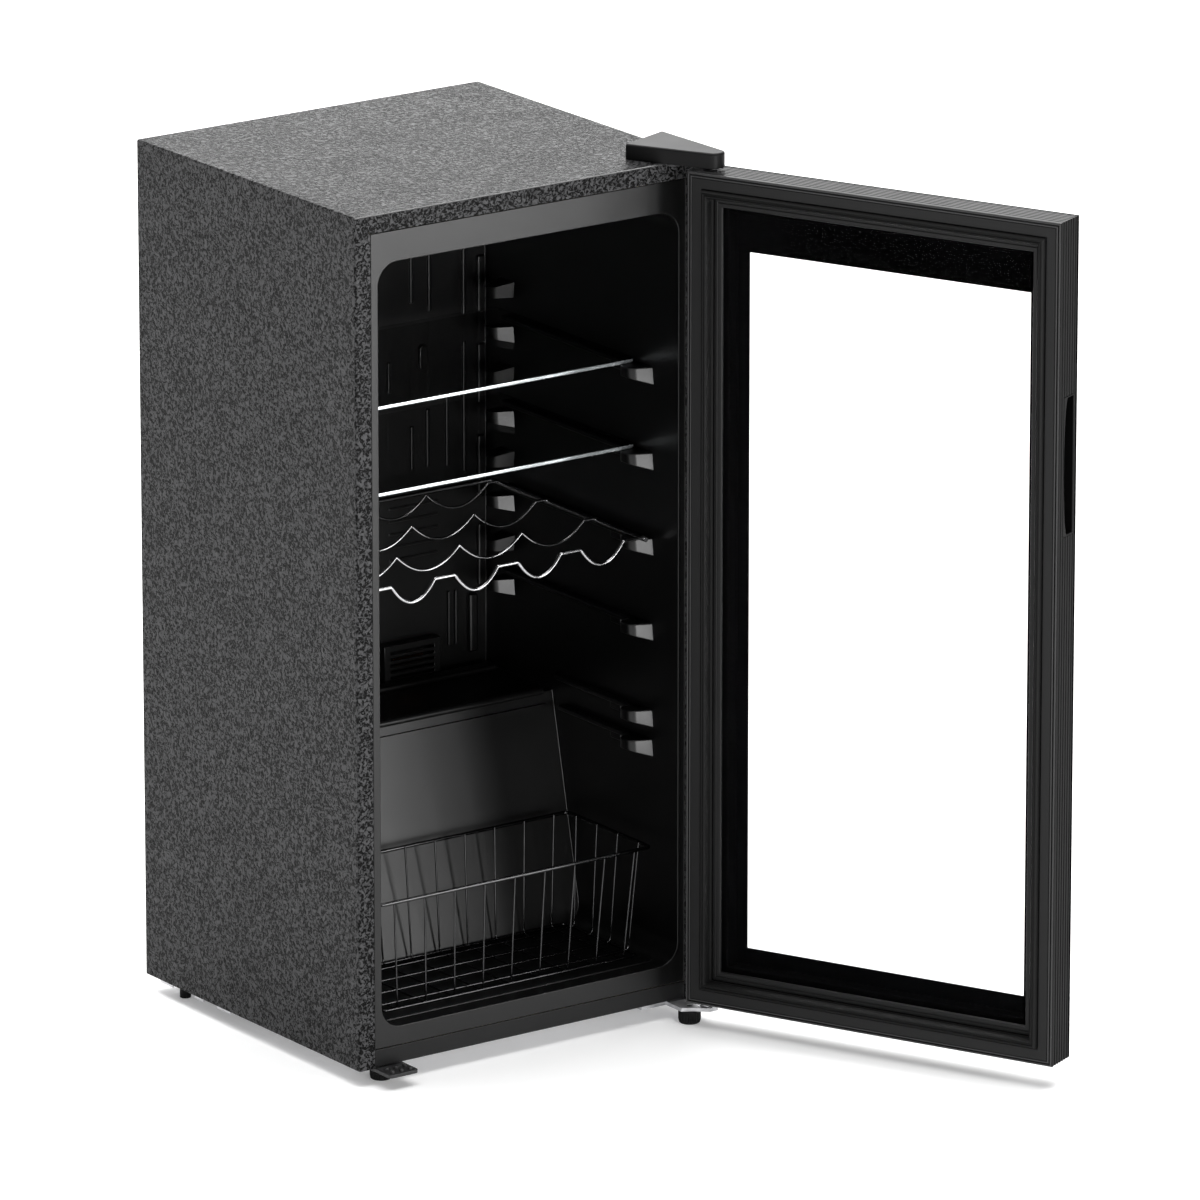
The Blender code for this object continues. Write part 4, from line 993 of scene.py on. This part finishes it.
# door: distances run in from the door's edge and behind its inner face
doorForm = {
    "band": 0.017, "groove": 0.009, "grooveDeep": 0.014, "clear": 0.0003,
    "beads": [(0.0062, 0), (0.0060, 0.0008), (0.0054, 0.0008), (0.0052, 0.0002), (0.0048, 0),
              (0.0042, 0), (0.0038, 0.0002), (0.0036, 0.0018), (0.0025, 0.0018),
              (0.0023, 0.0003), (0.0018, 0), (0.0011, 0), (0.0004, 0.0003), (0, 0.0010)],
    "outerBead": 0.0026, "innerBead": (0.0036, 0.0053), "beadDeep": 0.0012, "freeEdge": 0.0007,
    "flutes": 6, "fluteFrom": 0.0036, "fluteDeep": 0.0006, "fluteHalf": 0.24,
    "scoopWall": 0.0018, "scoopBack": 0.0016, "scoopFlat": 0.62, "facing": 0.3,
    "lip": 0.010, "lipStep": 0.005, "spacer": 0.010,
    "window": (0.052, 0.065, 0.378, 0.815), "bushBore": 0.0043, "bushEdge": 0.0005,
}
frameLow, frameHigh = doorBox("door_outer_frame")
paneLow, paneHigh = doorBox("outer_glass")
doorFace = frameHigh.y
doorRight, doorTop, doorBottom = frameHigh.x, frameHigh.z, frameLow.z
paneFace = doorFace - frameLow.y


def doorSweep(profile):
    # a closed profile of (distance in, depth behind) taken round the door
    rings = []
    for edge, deep in profile:
        y, low, right, high = doorFace - deep, doorBottom + edge, doorRight - edge, doorTop - edge
        rings.append([(edge, y, low), (right, y, low), (right, y, high), (edge, y, high)])
    return loopedMesh(rings)


def outerProfile():
    # from the inner face's beads round the outside and back through the gasket's groove
    form = doorForm
    band, groove, deep, flute = (form[key] for key in ("band", "groove", "grooveDeep", "fluteDeep"))
    points = [(band, deep), (band, 0.0012), (band - 0.0004, 0.0004), (band - 0.0012, 0)]
    points += form["beads"]
    start, end = form["fluteFrom"], paneFace - 0.001
    for i in range(form["flutes"]):
        middle = start + (end - start) * (i + 0.5) / form["flutes"]
        half = (end - start) / form["flutes"] * form["fluteHalf"]
        points += [(0, middle - half), (flute, middle - half * 0.5), (flute, middle + half * 0.5),
                   (0, middle + half)]
    return points + [(0, paneFace - 0.0003), (0.0004, paneFace), (band + groove, paneFace),
                     (band + groove, deep)]


def gasketProfile():
    clear = doorForm["clear"]
    low = doorForm["band"] + clear
    high = doorForm["band"] + doorForm["groove"] - clear
    proud = doorBox("door_gasket")[1].y - doorFace
    middle = (high - low) / 2
    half = [(0, doorForm["grooveDeep"] - clear), (0, 0.0095), (0.0018, 0.0085), (0.0018, 0.0060),
            (0, 0.0050), (0, 0.0008), (0.0006, -proud * 0.55), (0.0020, -proud * 0.92),
            (middle - 0.0010, -proud), (middle - 0.0004, -proud * 0.8)]
    return [(low + a, b) for a, b in half] + [(high - a, b) for a, b in reversed(half)]


def makeDoorFrame():
    form, clear = doorForm, doorForm["clear"]
    gripLow, gripHigh = doorBox("door_grip")
    room = Vector((clear, clear, clear))
    pocket = boxMesh((-0.01, *(gripLow - room).yz), gripHigh + room)
    bushLow, bushHigh = doorBox("door_bush_top")
    seatRadius = (bushHigh.x - bushLow.x) / 2 + clear
    seatTall = bushHigh.z - bushLow.z + clear
    seats = [turnedMesh([(0, z - seatTall), (seatRadius, z - seatTall),
                         (seatRadius, z + seatTall), (0, z + seatTall)], pivot.x, pivot.y, 48)
             for z in (doorTop, doorBottom)]
    mesh = combined(doorSweep(outerProfile()), [pocket] + seats, "DIFFERENCE")
    near, far = form["innerBead"]
    # faces on the free edge get the darker, duller plastic: painted shade
    for face in mesh.polygons:
        x, y, z = face.center
        inward = min(x, doorRight - x, z - doorBottom, doorTop - z)
        onBead = inward < form["outerBead"] or near < inward < far
        facing = doorFace - y < form["beadDeep"] and face.normal.y > form["facing"]
        # faces on the beads that face into the cabinet get the lighter plastic: painted highlight
        # lines
        face.material_index = 1 if x < form["freeEdge"] else 2 if onBead and facing else 0
    addPiece("doorFrame", mesh, "door", "black_plastic", ["door_outer_frame"], 0.00025, 2, 35,
             materials=[finishes["black_plastic"], shadedEdgePlastic, beadHighlightPlastic], place=doorTurn)


def makeGrip():
    # a cup with a rounded finger scoop
    low, high = doorBox("door_grip")
    wall, flat = doorForm["scoopWall"], doorForm["scoopFlat"]
    middle, half = (low.z + high.z) / 2, (high.z - low.z) / 2 - wall
    wide = high.y - low.y - 2 * doorForm["scoopBack"]
    scoop = [(low.y + wall, middle - half), (low.y + wall, middle + half)]
    for k in range(17):
        turn = pi / 2 - pi * k / 16
        scoop.append((low.y + wall + wide * (flat + (1 - flat) * cos(turn)),
                      middle + half * sin(turn)))
    well = prismMesh(scoop, "x", -0.01, high.x - doorForm["scoopBack"])
    cup = combined(boxMesh((0, low.y, low.z), high), [well], "DIFFERENCE")
    addPiece("gripCup", cup, "door", "gloss_plastic", ["door_grip"], 0.0006, 3, 35,
             materials=[shadedEdgePlastic], place=doorTurn)


def innerFrameProfile():
    low, high = doorBox("door_inner_frame")
    edge, recess = low.x, doorFace - high.y
    lip, step = doorForm["lip"], doorForm["lipStep"]
    face = [(0, 0.0008), (0.0008, 0), (0.0040, 0), (0.0044, 0.0007), (0.0050, 0.0007),
            (0.0054, 0), (lip - 0.0008, 0), (lip, 0.0010), (lip, 0.003), (step, 0.003)]
    return [(edge + a, recess + b) for a, b in face] + [(edge + step, paneFace), (edge, paneFace)]


def spacerProfile():
    low, high = doorBox("glass_spacer")
    near, far = doorFace - high.y, doorFace - low.y
    edge, wide = low.x, low.x + doorForm["spacer"]
    half = [(edge, 0), (wide - 0.001, 0), (wide, 0.001), (wide, 0.003), (wide - 0.0012, 0.004)]
    return [(a, near + b) for a, b in half] + [(a, far - b) for a, b in reversed(half)]


def makeBush(node, name):
    low, high = doorBox(node)
    radius, bore, edge = (high.x - low.x) / 2, doorForm["bushBore"], doorForm["bushEdge"]
    profile = [(bore, low.z), (radius - edge, low.z), (radius, low.z + edge),
               (radius, high.z - edge), (radius - edge, high.z), (bore, high.z)]
    rings = [ringPoints(pivot.x, pivot.y, reach, z, 48) for reach, z in profile]
    addPiece(name, loopedMesh(rings), "door", "rubber", [node], smooth=40, place=doorTurn)


def makeOuterPane():
    # one pane whose border is printed black and whose window is clear
    left, low, right, high = doorForm["window"]
    bm = bmesh.new()
    xs, zs = (paneLow.x, left, right, paneHigh.x), (paneLow.z, low, high, paneHigh.z)
    grid = {}
    for side, y in enumerate((paneLow.y, paneHigh.y)):
        for i, x in enumerate(xs):
            for k, z in enumerate(zs):
                grid[side, i, k] = bm.verts.new((x, y, z))
    for side in (0, 1):
        for i in range(3):
            for k in range(3):
                face = bm.faces.new((grid[side, i, k], grid[side, i + 1, k],
                                     grid[side, i + 1, k + 1], grid[side, i, k + 1]))
                face.material_index = 1 if (i, k) != (1, 1) else 0
    rim = [(i, 0) for i in range(3)] + [(3, k) for k in range(3)]
    rim += [(i, 3) for i in range(3, 0, -1)] + [(0, k) for k in range(3, 0, -1)]
    for here, there in zip(rim, rim[1:] + rim[:1]):
        face = bm.faces.new((grid[(0,) + here], grid[(0,) + there], grid[(1,) + there],
                             grid[(1,) + here]))
        face.material_index = 1
    addPiece("outerPane", toMesh(bm), "door", "clear_glass", ["outer_glass"], 0.0005, 2, 35,
             materials=[finishes["clear_glass"], borderGlass], place=doorTurn)


makeDoorFrame()
makeGrip()
addPiece("doorGasket", doorSweep(gasketProfile()), "door", "rubber", ["door_gasket"], 0.0003, 2,
         place=doorTurn)
addPiece("doorInnerFrame", doorSweep(innerFrameProfile()), "door", "black_plastic",
         ["door_inner_frame"], 0.0002, 2, 35, place=doorTurn)
addPiece("glassSpacer", doorSweep(spacerProfile()), "door", "black_plastic", ["glass_spacer"],
         smooth=35, materials=[borderGlass], place=doorTurn)
addPiece("innerPane", boxMesh(*doorBox("inner_glass"), 0.0004, 2), "door", "clear_glass",
         ["inner_glass"], smooth=35, place=doorTurn)
makeOuterPane()
makeBush("door_bush_top", "upperBush")
makeBush("door_bush_bottom", "lowerBush")
print("door made")


# hinges, feet and brackets: the cover's tail is measured from the cabinet's right side, its
# nose from the pin
coverForm = {"tail": ((0.070, 0.038), (0.005, 0.062)), "noseLeft": 0.001, "noseFront": 0.010,
             "noseRadius": 0.0115, "noseTurn": (5, -150), "corner": 0.004, "round": 0.0042,
             "hollowLeft": 0.012, "hollowBehind": 0.006, "shrink": 0.09, "roof": 0.005}


def makeHingeCover():
    form = coverForm
    low, high = cabinetBox("top_hinge_cover")
    outline = [(cabinetWidth - right, y) for right, y in form["tail"]]
    outline += arcPoints(pivot.x - form["noseLeft"], pivot.y - form["noseFront"],
                         form["noseRadius"], *form["noseTurn"], 19)
    bm = bmesh.new()
    bm.from_mesh(prismMesh(outline, "z", low.z, high.z))
    upright = [edge for edge in bm.edges
               if abs(edge.verts[0].co.z - edge.verts[1].co.z) > 0.005
               and edge.calc_face_angle(0) > radians(25)]
    softened(bm, upright, form["corner"], 5)
    top = [edge for edge in bm.edges if all(v.co.z > high.z - 1e-6 for v in edge.verts)
           and edge.calc_face_angle(0) > 0.5]
    softened(bm, top, form["round"], 6)
    middle = (pivot.x - form["hollowLeft"], form["hollowBehind"])
    hollow = [(x + (middle[0] - x) * form["shrink"], y + (middle[1] - y) * form["shrink"])
              for x, y in outline]
    room = prismMesh(hollow, "z", low.z - 0.01, high.z - form["roof"])
    addPiece("hingeCover", combined(toMesh(bm), [room], "DIFFERENCE"), "cabinet",
             "gloss_plastic", ["top_hinge_cover"], smooth=35, materials=[coverPlastic])


footForm = {"ribs": 28, "ribDeep": 0.0009, "stem": 0.0029, "shoulder": -0.0046}


def ribbedFoot(node, name):
    x, y, radius, low, high = middleOf(node)
    sole, shoulder, sides = low.z, footForm["shoulder"], footForm["ribs"] * 4
    bm = bmesh.new()
    heights = [(0.84, sole, 0), (0.92, sole + 0.0008, 0), (0.95, sole + 0.002, 1),
               (0.99, sole + 0.004, 1), (1.0, shoulder - 0.0014, 1), (0.97, shoulder, 0)]
    rings = []
    for share, z, ribbed in heights:
        ring = []
        for k in range(sides):
            angle = 2 * pi * k / sides
            inset = footForm["ribDeep"] * (0, 0.6, 1, 0.6)[k % 4] * ribbed
            reach = radius * share - inset
            ring.append((x + reach * cos(angle), y + reach * sin(angle), z))
        rings.append(ring)
    rings += [ringPoints(x, y, footForm["stem"], z, sides) for z in (shoulder, high.z)]
    rings = [[bm.verts.new(point) for point in ring] for ring in rings]
    for lower, upper in zip(rings, rings[1:]):
        skinned(bm, lower, upper)
    bm.faces.new(rings[0])
    bm.faces.new(rings[-1])
    addPiece(name, toMesh(bm), node, "rubber", [node], smooth=50)


def roundNode(node, name, slotName, round=0.0005):
    # a turned CAD piece again with a smoother outline
    x, y, radius, low, high = middleOf(node)
    profile = [(0, low.z), (radius - round, low.z), (radius, low.z + round),
               (radius, high.z - round), (radius - round, high.z), (0, high.z)]
    addPiece(name, turnedMesh(profile, x, y, 48), "cabinet", slotName, [node])


def refined(*pieces, body="cabinet"):
    # CAD shapes with rounded edges
    for node, name, slotName, round, steps in pieces:
        addPiece(name, cadCopy(node), body, slotName, [node], round, steps, 35)


screwForm = {"tall": 0.0027, "shank": 0.0021, "slot": 0.16, "arm": 0.6, "deep": 0.45,
             "turned": 0.4}


def screwHead(radius):
    # a pan head with a cross recess
    tall = screwForm["tall"]
    profile = [(0, 0), (radius, 0), (radius, tall * 0.35), (radius * 0.86, tall * 0.75),
               (radius * 0.5, tall), (0, tall)]
    slot, arm, deep = radius * screwForm["slot"], radius * screwForm["arm"], screwForm["deep"]
    arms = [boxMesh((-a, -b, tall * deep), (a, b, tall * 2)) for a, b in ((arm, slot), (slot, arm))]
    return combined(turnedMesh(profile, 0, 0, 32), arms, "DIFFERENCE")


def makeScrew(node, name, flip):
    x, y, radius, low, high = middleOf(node)
    tall, shank = screwForm["tall"], screwForm["shank"]
    z = low.z + tall if flip else high.z - tall
    mesh = repeated(screwHead(radius), [((x, y, z), (flip, 0, screwForm["turned"]))],
                    finishes["galvanised"])
    if not flip:
        top = z + 0.0004
        mesh = joined([mesh, turnedMesh([(0, low.z), (shank, low.z), (shank, top), (0, top)],
                                        x, y, 24)])
    addPiece(name, mesh, "cabinet", "galvanised", [node])


# studs stand in rows from the first one, on the plate
bracketForm = {"top": -0.0003, "corner": 0.004, "edge": 0.0006, "firstStud": (0.027, -0.020),
               "studPitch": (0.011, 0.010), "studRows": (3, 2)}


def makeLeftBracket():
    form = bracketForm
    low, high = cabinetBox("front_left_bracket")
    outline = roundedOutline(low.x, low.y, high.x, high.y, form["corner"], 6)
    plate = prismMesh(outline, "z", low.z, form["top"], form["edge"])
    stud = turnedMesh([(0, -0.001), (0.0025, -0.001), (0.0025, 0.0018), (0.0020, 0.0025),
                       (0.0010, 0.0029), (0, 0.003)], 0, 0, 20)
    (x, y), (alongX, alongY), (columns, rows) = (form[key] for key in (
        "firstStud", "studPitch", "studRows"))
    spots = [((x + alongX * i, y + alongY * k, form["top"]), (0, 0, 0)) for i in range(columns)
             for k in range(rows)]
    studs = repeated(stud, spots, finishes["black_steel"])
    addPiece("leftBracket", joined([plate, studs]), "cabinet", "black_steel",
             ["front_left_bracket"])


makeHingeCover()
ribbedFoot("front_left_foot", "leftFoot")
ribbedFoot("front_right_foot", "rightFoot")
roundNode("rear_left_foot", "rearLeftFoot", "rubber")
roundNode("rear_right_foot", "rearRightFoot", "rubber")
roundNode("top_hinge_pin", "topPin", "galvanised")
makeScrew("top_hinge_screw_1", "topScrewLeft", 0)
makeScrew("top_hinge_screw_2", "topScrewRight", 0)
makeScrew("bottom_hinge_screw_1", "lowScrewLeft", pi)
makeScrew("bottom_hinge_screw_2", "lowScrewRight", pi)
makeLeftBracket()
refined(("top_hinge_plate", "topHingePlate", "galvanised", 0.0004, 2),
        ("bottom_hinge_bracket", "lowHingeBracket", "galvanised", 0.0004, 2),
        ("bottom_hinge_pin", "lowPin", "galvanised", 0.0003, 2))
print("hinges and feet made")


# controls and small pieces of the cavity
refined(("front_apron", "frontApron", "black_plastic", 0.0007, 3),
        ("control_housing", "controlHousing", "black_plastic", 0.0007, 3),
        ("sensor_cover", "sensorCover", "liner_plastic", 0.0005, 2),
        ("lamp_lens", "lampLens", "lamp_plastic", 0.0004, 2))
refined(("light_rocker", "lightRocker", "gloss_plastic", 0.0012, 4), body="light_rocker")

knobForm = {"shaft": 0.0029, "ridge": 0.003, "ridgeHalf": 0.0018, "reach": 0.88, "grips": 30,
            "gripAt": 0.0058, "gripIn": 0.0006, "thick": 0.0095}


def makeKnob():
    form = knobForm
    low, high = cabinetBox("thermostat_knob")
    x, z = (low.x + high.x) / 2, (low.z + high.z) / 2
    radius, shaft, face = (high.x - low.x) / 2, form["shaft"], low.y + form["ridge"]
    rear = face + form["thick"]
    rings = [(0, face), (radius * 0.86, face), (radius * 0.94, face + 0.0006),
             (radius, face + 0.002), (radius, rear), (shaft, rear), (shaft, high.y), (0, high.y)]
    dial = turnedMesh(rings, 0, 0, 64, "y")
    dial.transform(Matrix.Translation((x, 0, z)))
    half, reach = form["ridgeHalf"], radius * form["reach"]
    ridge = boxMesh((x - half, low.y, z - reach), (x + half, face + 0.002, z + reach), 0.0008)
    notch = boxMesh((-0.0005, -0.0009, -0.004), (0.0005, 0.0009, 0.004), 0.0004, 2)
    spots = []
    out = radius - form["gripIn"]
    for k in range(form["grips"]):
        angle = 2 * pi * k / form["grips"]
        spots.append(((x + out * sin(angle), face + form["gripAt"], z + out * cos(angle)),
                      (pi / 2, angle, 0)))
    grips = repeated(notch, spots, finishes["black_plastic"])
    addPiece("thermostatDial", joined([dial, ridge, grips]), "thermostat_knob", "black_plastic",
             ["thermostat_knob"])


makeKnob()
print("controls made")


# machine compartment and rear
# outlines are shares of the radius and of the height
machineForm = {
    "canRadius": 0.062, "canShare": 0.97, "footCorner": 0.012, "footThick": 0.0025,
    "boltSpots": (0.070, 0.045),
    "can": [(0, 0.01), (0.66, 0.012), (0.82, 0.03), (0.95, 0.09), (1, 0.17), (1, 0.44),
            (1.03, 0.45), (1.03, 0.48), (1, 0.49), (1, 0.62), (0.985, 0.70), (0.94, 0.78),
            (0.84, 0.87), (0.66, 0.94), (0.42, 0.983), (0.2, 0.998), (0, 1)],
    "grommet": [(0, 0), (0.94, 0), (1, 0.06), (1, 0.26), (0.74, 0.34), (0.74, 0.44), (1, 0.54),
                (1, 0.72), (0.74, 0.80), (0.74, 0.90), (0.90, 0.95), (0.90, 1), (0, 1)],
    "drier": [(0, 0), (0.16, 0), (0.18, 0.09), (0.4, 0.11), (0.85, 0.15), (1, 0.20), (1, 0.80),
              (0.85, 0.85), (0.4, 0.89), (0.18, 0.91), (0.16, 1), (0, 1)],
}


def turnedNode(node, name, slotName, outline):
    x, y, radius, low, high = middleOf(node)
    profile = [(radius * a, low.z + (high.z - low.z) * b) for a, b in outline]
    addPiece(name, turnedMesh(profile, x, y, 40), "cabinet", slotName, [node])


def makeCompressor():
    form = machineForm
    x, y, _, low, high = middleOf("compressor")
    base, tall, radius = low.z, high.z - low.z, form["canRadius"] * form["canShare"]
    can = turnedMesh([(radius * a, base + tall * b) for a, b in form["can"]], x, y, 72)
    outline = roundedOutline(low.x, low.y, high.x, high.y, form["footCorner"], 6)
    foot = prismMesh(outline, "z", base, base + form["footThick"], 0.0006)
    bolt = turnedMesh([(0, 0), (0.005, 0), (0.005, 0.003), (0.003, 0.0035), (0.003, 0.007),
                       (0, 0.007)], 0, 0, 6)
    alongX, alongY = form["boltSpots"]
    spots = [((x + a * alongX, y + b * alongY, base + 0.0024), (0, 0, 0)) for a in (-1, 1)
             for b in (-1, 1)]
    bolts = repeated(bolt, spots, finishes["black_steel"])
    addPiece("compressorCan", joined([can, foot, bolts]), "cabinet", "black_steel",
             ["compressor"])


condenserForm = {"rows": 9, "wires": 26, "tube": 0.0025, "wire": 0.0011, "left": 0.075,
                 "low": 0.300, "topDrop": 0.060, "behind": 0.016, "past": 0.012, "post": 0.006,
                 "postIn": 0.025}


def makeCondenser():
    form = condenserForm
    foot = cabinetBox("condenser")[0].z
    tube, thin, past = form["tube"], form["wire"], form["past"]
    y = cabinetDepth + form["behind"]
    left, right = form["left"], cabinetWidth - form["left"]
    low, high = form["low"], cabinetHeight - form["topDrop"]
    pitch = (high - low) / (form["rows"] - 1)
    bend = pitch / 2
    innerLeft, innerRight = left + bend, right - bend
    path = [(left, y, foot), (left, y, low - past), (left + past, y, low)]
    for row in range(form["rows"]):
        z = low + row * pitch
        side = 1 if row % 2 == 0 else -1
        turnX = innerRight if side > 0 else innerLeft
        path.append((turnX, y, z))
        if row == form["rows"] - 1:
            break
        for step in range(1, 12):
            angle = -pi / 2 + pi * step / 12
            path.append((turnX + side * bend * cos(angle), y, z + bend + bend * sin(angle)))
        path.append((turnX, y, z + pitch))
    runs = [(path, tube, False)]
    for i in range(form["wires"]):
        x = innerLeft + (innerRight - innerLeft) * i / (form["wires"] - 1)
        for side in (1, -1):
            at = y + side * (tube + thin * 0.8)
            runs.append(([(x, at, low - past), (x, at, high + past)], thin, False))
    grid = wires(runs, 0.0005, 10, finishes["black_steel"])
    spots = [((x, 0, z), (0, 0, 0)) for x in (innerLeft + form["postIn"],
                                             innerRight - form["postIn"])
             for z in (low + pitch, high - pitch)]
    half = form["post"]
    post = boxMesh((-half, cabinetDepth + 0.0003, -half), (half, y + 0.001, half), 0.001)
    mesh = joined([grid, repeated(post, spots, finishes["black_steel"])])
    addPiece("condenserGrid", mesh, "cabinet", "black_steel", ["condenser"], smooth=50)


pipeForm = {"radius": 0.0627, "suction": 0.003, "suctionAt": 0.095, "suctionOut": 0.026,
            "discharge": 0.0025, "dischargeAt": 0.085}


def makePipes():
    # both leave the compressor's can; the second one climbs to the condenser
    form = pipeForm
    x, y = middleOf("compressor")[:2]
    side, at = x - form["radius"], form["suctionAt"]
    out = side - form["suctionOut"]
    suction = [(side, y, at), (out + 0.002, y, at), (out, y, at + 0.005),
               (out, y, cabinetBox("suction_pipe")[1].z)]
    lead, rear = cabinetDepth - 0.004, cabinetDepth + condenserForm["behind"]
    left, at = condenserForm["left"], form["dischargeAt"]
    discharge = [(x, y + form["radius"], at), (x, lead, at), (x - 0.010, rear - 0.004, 0.090),
                 (x - 0.030, rear, 0.100), (left + 0.025, rear, 0.130),
                 (left + 0.006, rear, 0.142), (left, rear, 0.165),
                 (left, rear, cabinetBox("discharge_pipe")[1].z)]
    for kind, run, bend in (("suction", suction, 0.012), ("discharge", discharge, 0.010)):
        tube = wires([(run, form[kind], False)], bend, 20, finishes["copper"])
        addPiece(kind + "Pipe", tube, "cabinet", "copper", [kind + "_pipe"], smooth=60)


def makeBackPanel():
    low, high = cabinetBox("back_panel")
    head = [(0, 0), (0.004, 0), (0.0036, 0.0012), (0.002, 0.0018), (0, 0.002)]
    screw, inset = turnedMesh(head, 0, 0, 20), 0.012
    spots = [((x, high.y - 0.0002, z), (-pi / 2, 0, 0))
             for z in (low.z + inset, (low.z + high.z) / 2, high.z - inset)
             for x in (low.x + inset, high.x - inset)]
    screws = repeated(screw, spots, finishes["black_steel"])
    addPiece("backPanel", joined([boxMesh(low, high, 0.0003, 2), screws]), "cabinet",
             "black_steel", ["back_panel"], smooth=35)


makeCompressor()
for number in range(1, 5):
    turnedNode(f"compressor_grommet_{number}", f"grommet{number}", "rubber",
               machineForm["grommet"])
makeCondenser()
makePipes()
turnedNode("filter_drier", "filterDrier", "copper", machineForm["drier"])
makeBackPanel()
refined(("compressor_tray", "compressorTray", "galvanised", 0.0004, 2),
        ("base_plate", "basePlate", "galvanised", 0.0003, 2),
        ("starter_box", "starterBox", "black_plastic", 0.002, 4),
        ("drain_pan", "drainPan", "black_plastic", 0.0006, 3),
        ("mains_inlet_gland", "mainsGland", "rubber", 0.0004, 2))
# pieces that are shut away keep their CAD shapes
for node, slotName in (("foam_insulation", "foam"), ("evaporator_plate", "aluminium"),
                       ("temperature_sensor", "copper"), ("lamp_board", "galvanised"),
                       ("thermostat_body", "galvanised")):
    mesh = nodes[node].data
    mesh.materials.clear()
    mesh.materials.append(finishes[slotName])
print("rear made")


# floor, light and camera
stageLook = {"floorSize": 60.0, "floor": (0.92, 0.92, 0.92, 1), "floorGlow": 0.16,
             "backdrop": 1.0, "ambient": 0.2, "skylight": 4.8, "skylightSpread": 70,
             "skylightTilt": 8}
# name, place, where it aims, size and power
softboxes = (
    ("frontLight", (1.3, -2.7, 0.75), (0, 0, 0.45), (0.9, 1.3), 36),
    ("lugLight", (-0.5, -2.6, 0.4), (0.1, 0, 0.5), (0.7, 0.6), 26),
    ("backLight", (2.6, 3.6, 2.25), (0, 0, 0.9), (2.8, 1.8), 68),
    ("leftLight", (-3.2, -0.6, 1.9), (0, 0, 0.5), (0.6, 0.8), 3),
    ("grazingLight", (-1.3, 2.9, 1.5), (-0.2, 0, 0.45), (0.4, 0.4), 16),
)
cameraForm = {"place": (-6.790, -9.524, 3.927), "yaw": 35.48, "pitch": 16.46, "lens": 355.3,
              "sensor": 36, "farthest": 100}


def placed(name, data):
    holder = bpy.data.objects.new(name, data)
    bpy.context.scene.collection.objects.link(holder)
    return holder


def makeStage():
    half = stageLook["floorSize"] / 2
    bm = bmesh.new()
    corners = [(-half, -half), (half, -half), (half, half), (-half, half)]
    bm.faces.new([bm.verts.new((x, y, 0)) for x, y in corners])
    mesh = toMesh(bm, False)
    pale = Shader("paleFloor", {"Base Color": stageLook["floor"], "Roughness": 0.9,
                                "Specular IOR Level": 0.1, "Emission Color": (1, 1, 1, 1),
                                "Emission Strength": stageLook["floorGlow"]})
    mesh.materials.append(pale.material)
    placed("floor", mesh)
    # the backdrop is white to look at, and lights the object only faintly
    world = bpy.data.worlds.new("studio")
    world.use_nodes = True
    tree = world.node_tree
    seen = tree.nodes.new("ShaderNodeLightPath")
    level = tree.nodes.new("ShaderNodeMapRange")
    level.inputs["To Min"].default_value = stageLook["ambient"]
    level.inputs["To Max"].default_value = stageLook["backdrop"]
    tree.links.new(seen.outputs["Is Camera Ray"], level.inputs["Value"])
    tree.links.new(level.outputs["Result"], tree.nodes["Background"].inputs["Strength"])
    tree.nodes["Background"].inputs["Color"].default_value = (1, 1, 1, 1)
    bpy.context.scene.world = world
    sun = bpy.data.lights.new("skylight", "SUN")
    sun.energy = stageLook["skylight"]
    sun.angle = radians(stageLook["skylightSpread"])
    tilt = radians(stageLook["skylightTilt"])
    placed("skylight", sun).rotation_euler = (-tilt, tilt, 0)


def softbox(name, place, aim, size, power):
    light = bpy.data.lights.new(name, "AREA")
    light.shape = "RECTANGLE"
    light.size, light.size_y = size
    light.energy = power
    lamp = placed(name, light)
    lamp.location = place
    lamp.rotation_euler = (Vector(aim) - Vector(place)).to_track_quat("-Z", "Y").to_euler()


def makeCamera():
    yaw, pitch = radians(cameraForm["yaw"]), radians(cameraForm["pitch"])
    forward = Vector((sin(yaw) * cos(pitch), cos(yaw) * cos(pitch), -sin(pitch)))
    camera = bpy.data.cameras.new("camera")
    camera.lens = cameraForm["lens"]
    camera.sensor_width = cameraForm["sensor"]
    camera.clip_end = cameraForm["farthest"]
    holder = placed("camera", camera)
    holder.location = cameraForm["place"]
    holder.rotation_euler = forward.to_track_quat("-Z", "Y").to_euler()
    bpy.context.scene.camera = holder


makeStage()
for settings in softboxes:
    softbox(*settings)
makeCamera()
bpy.context.scene.view_settings.view_transform = "Standard"
bpy.context.scene.view_settings.look = "None"
print("stage made")
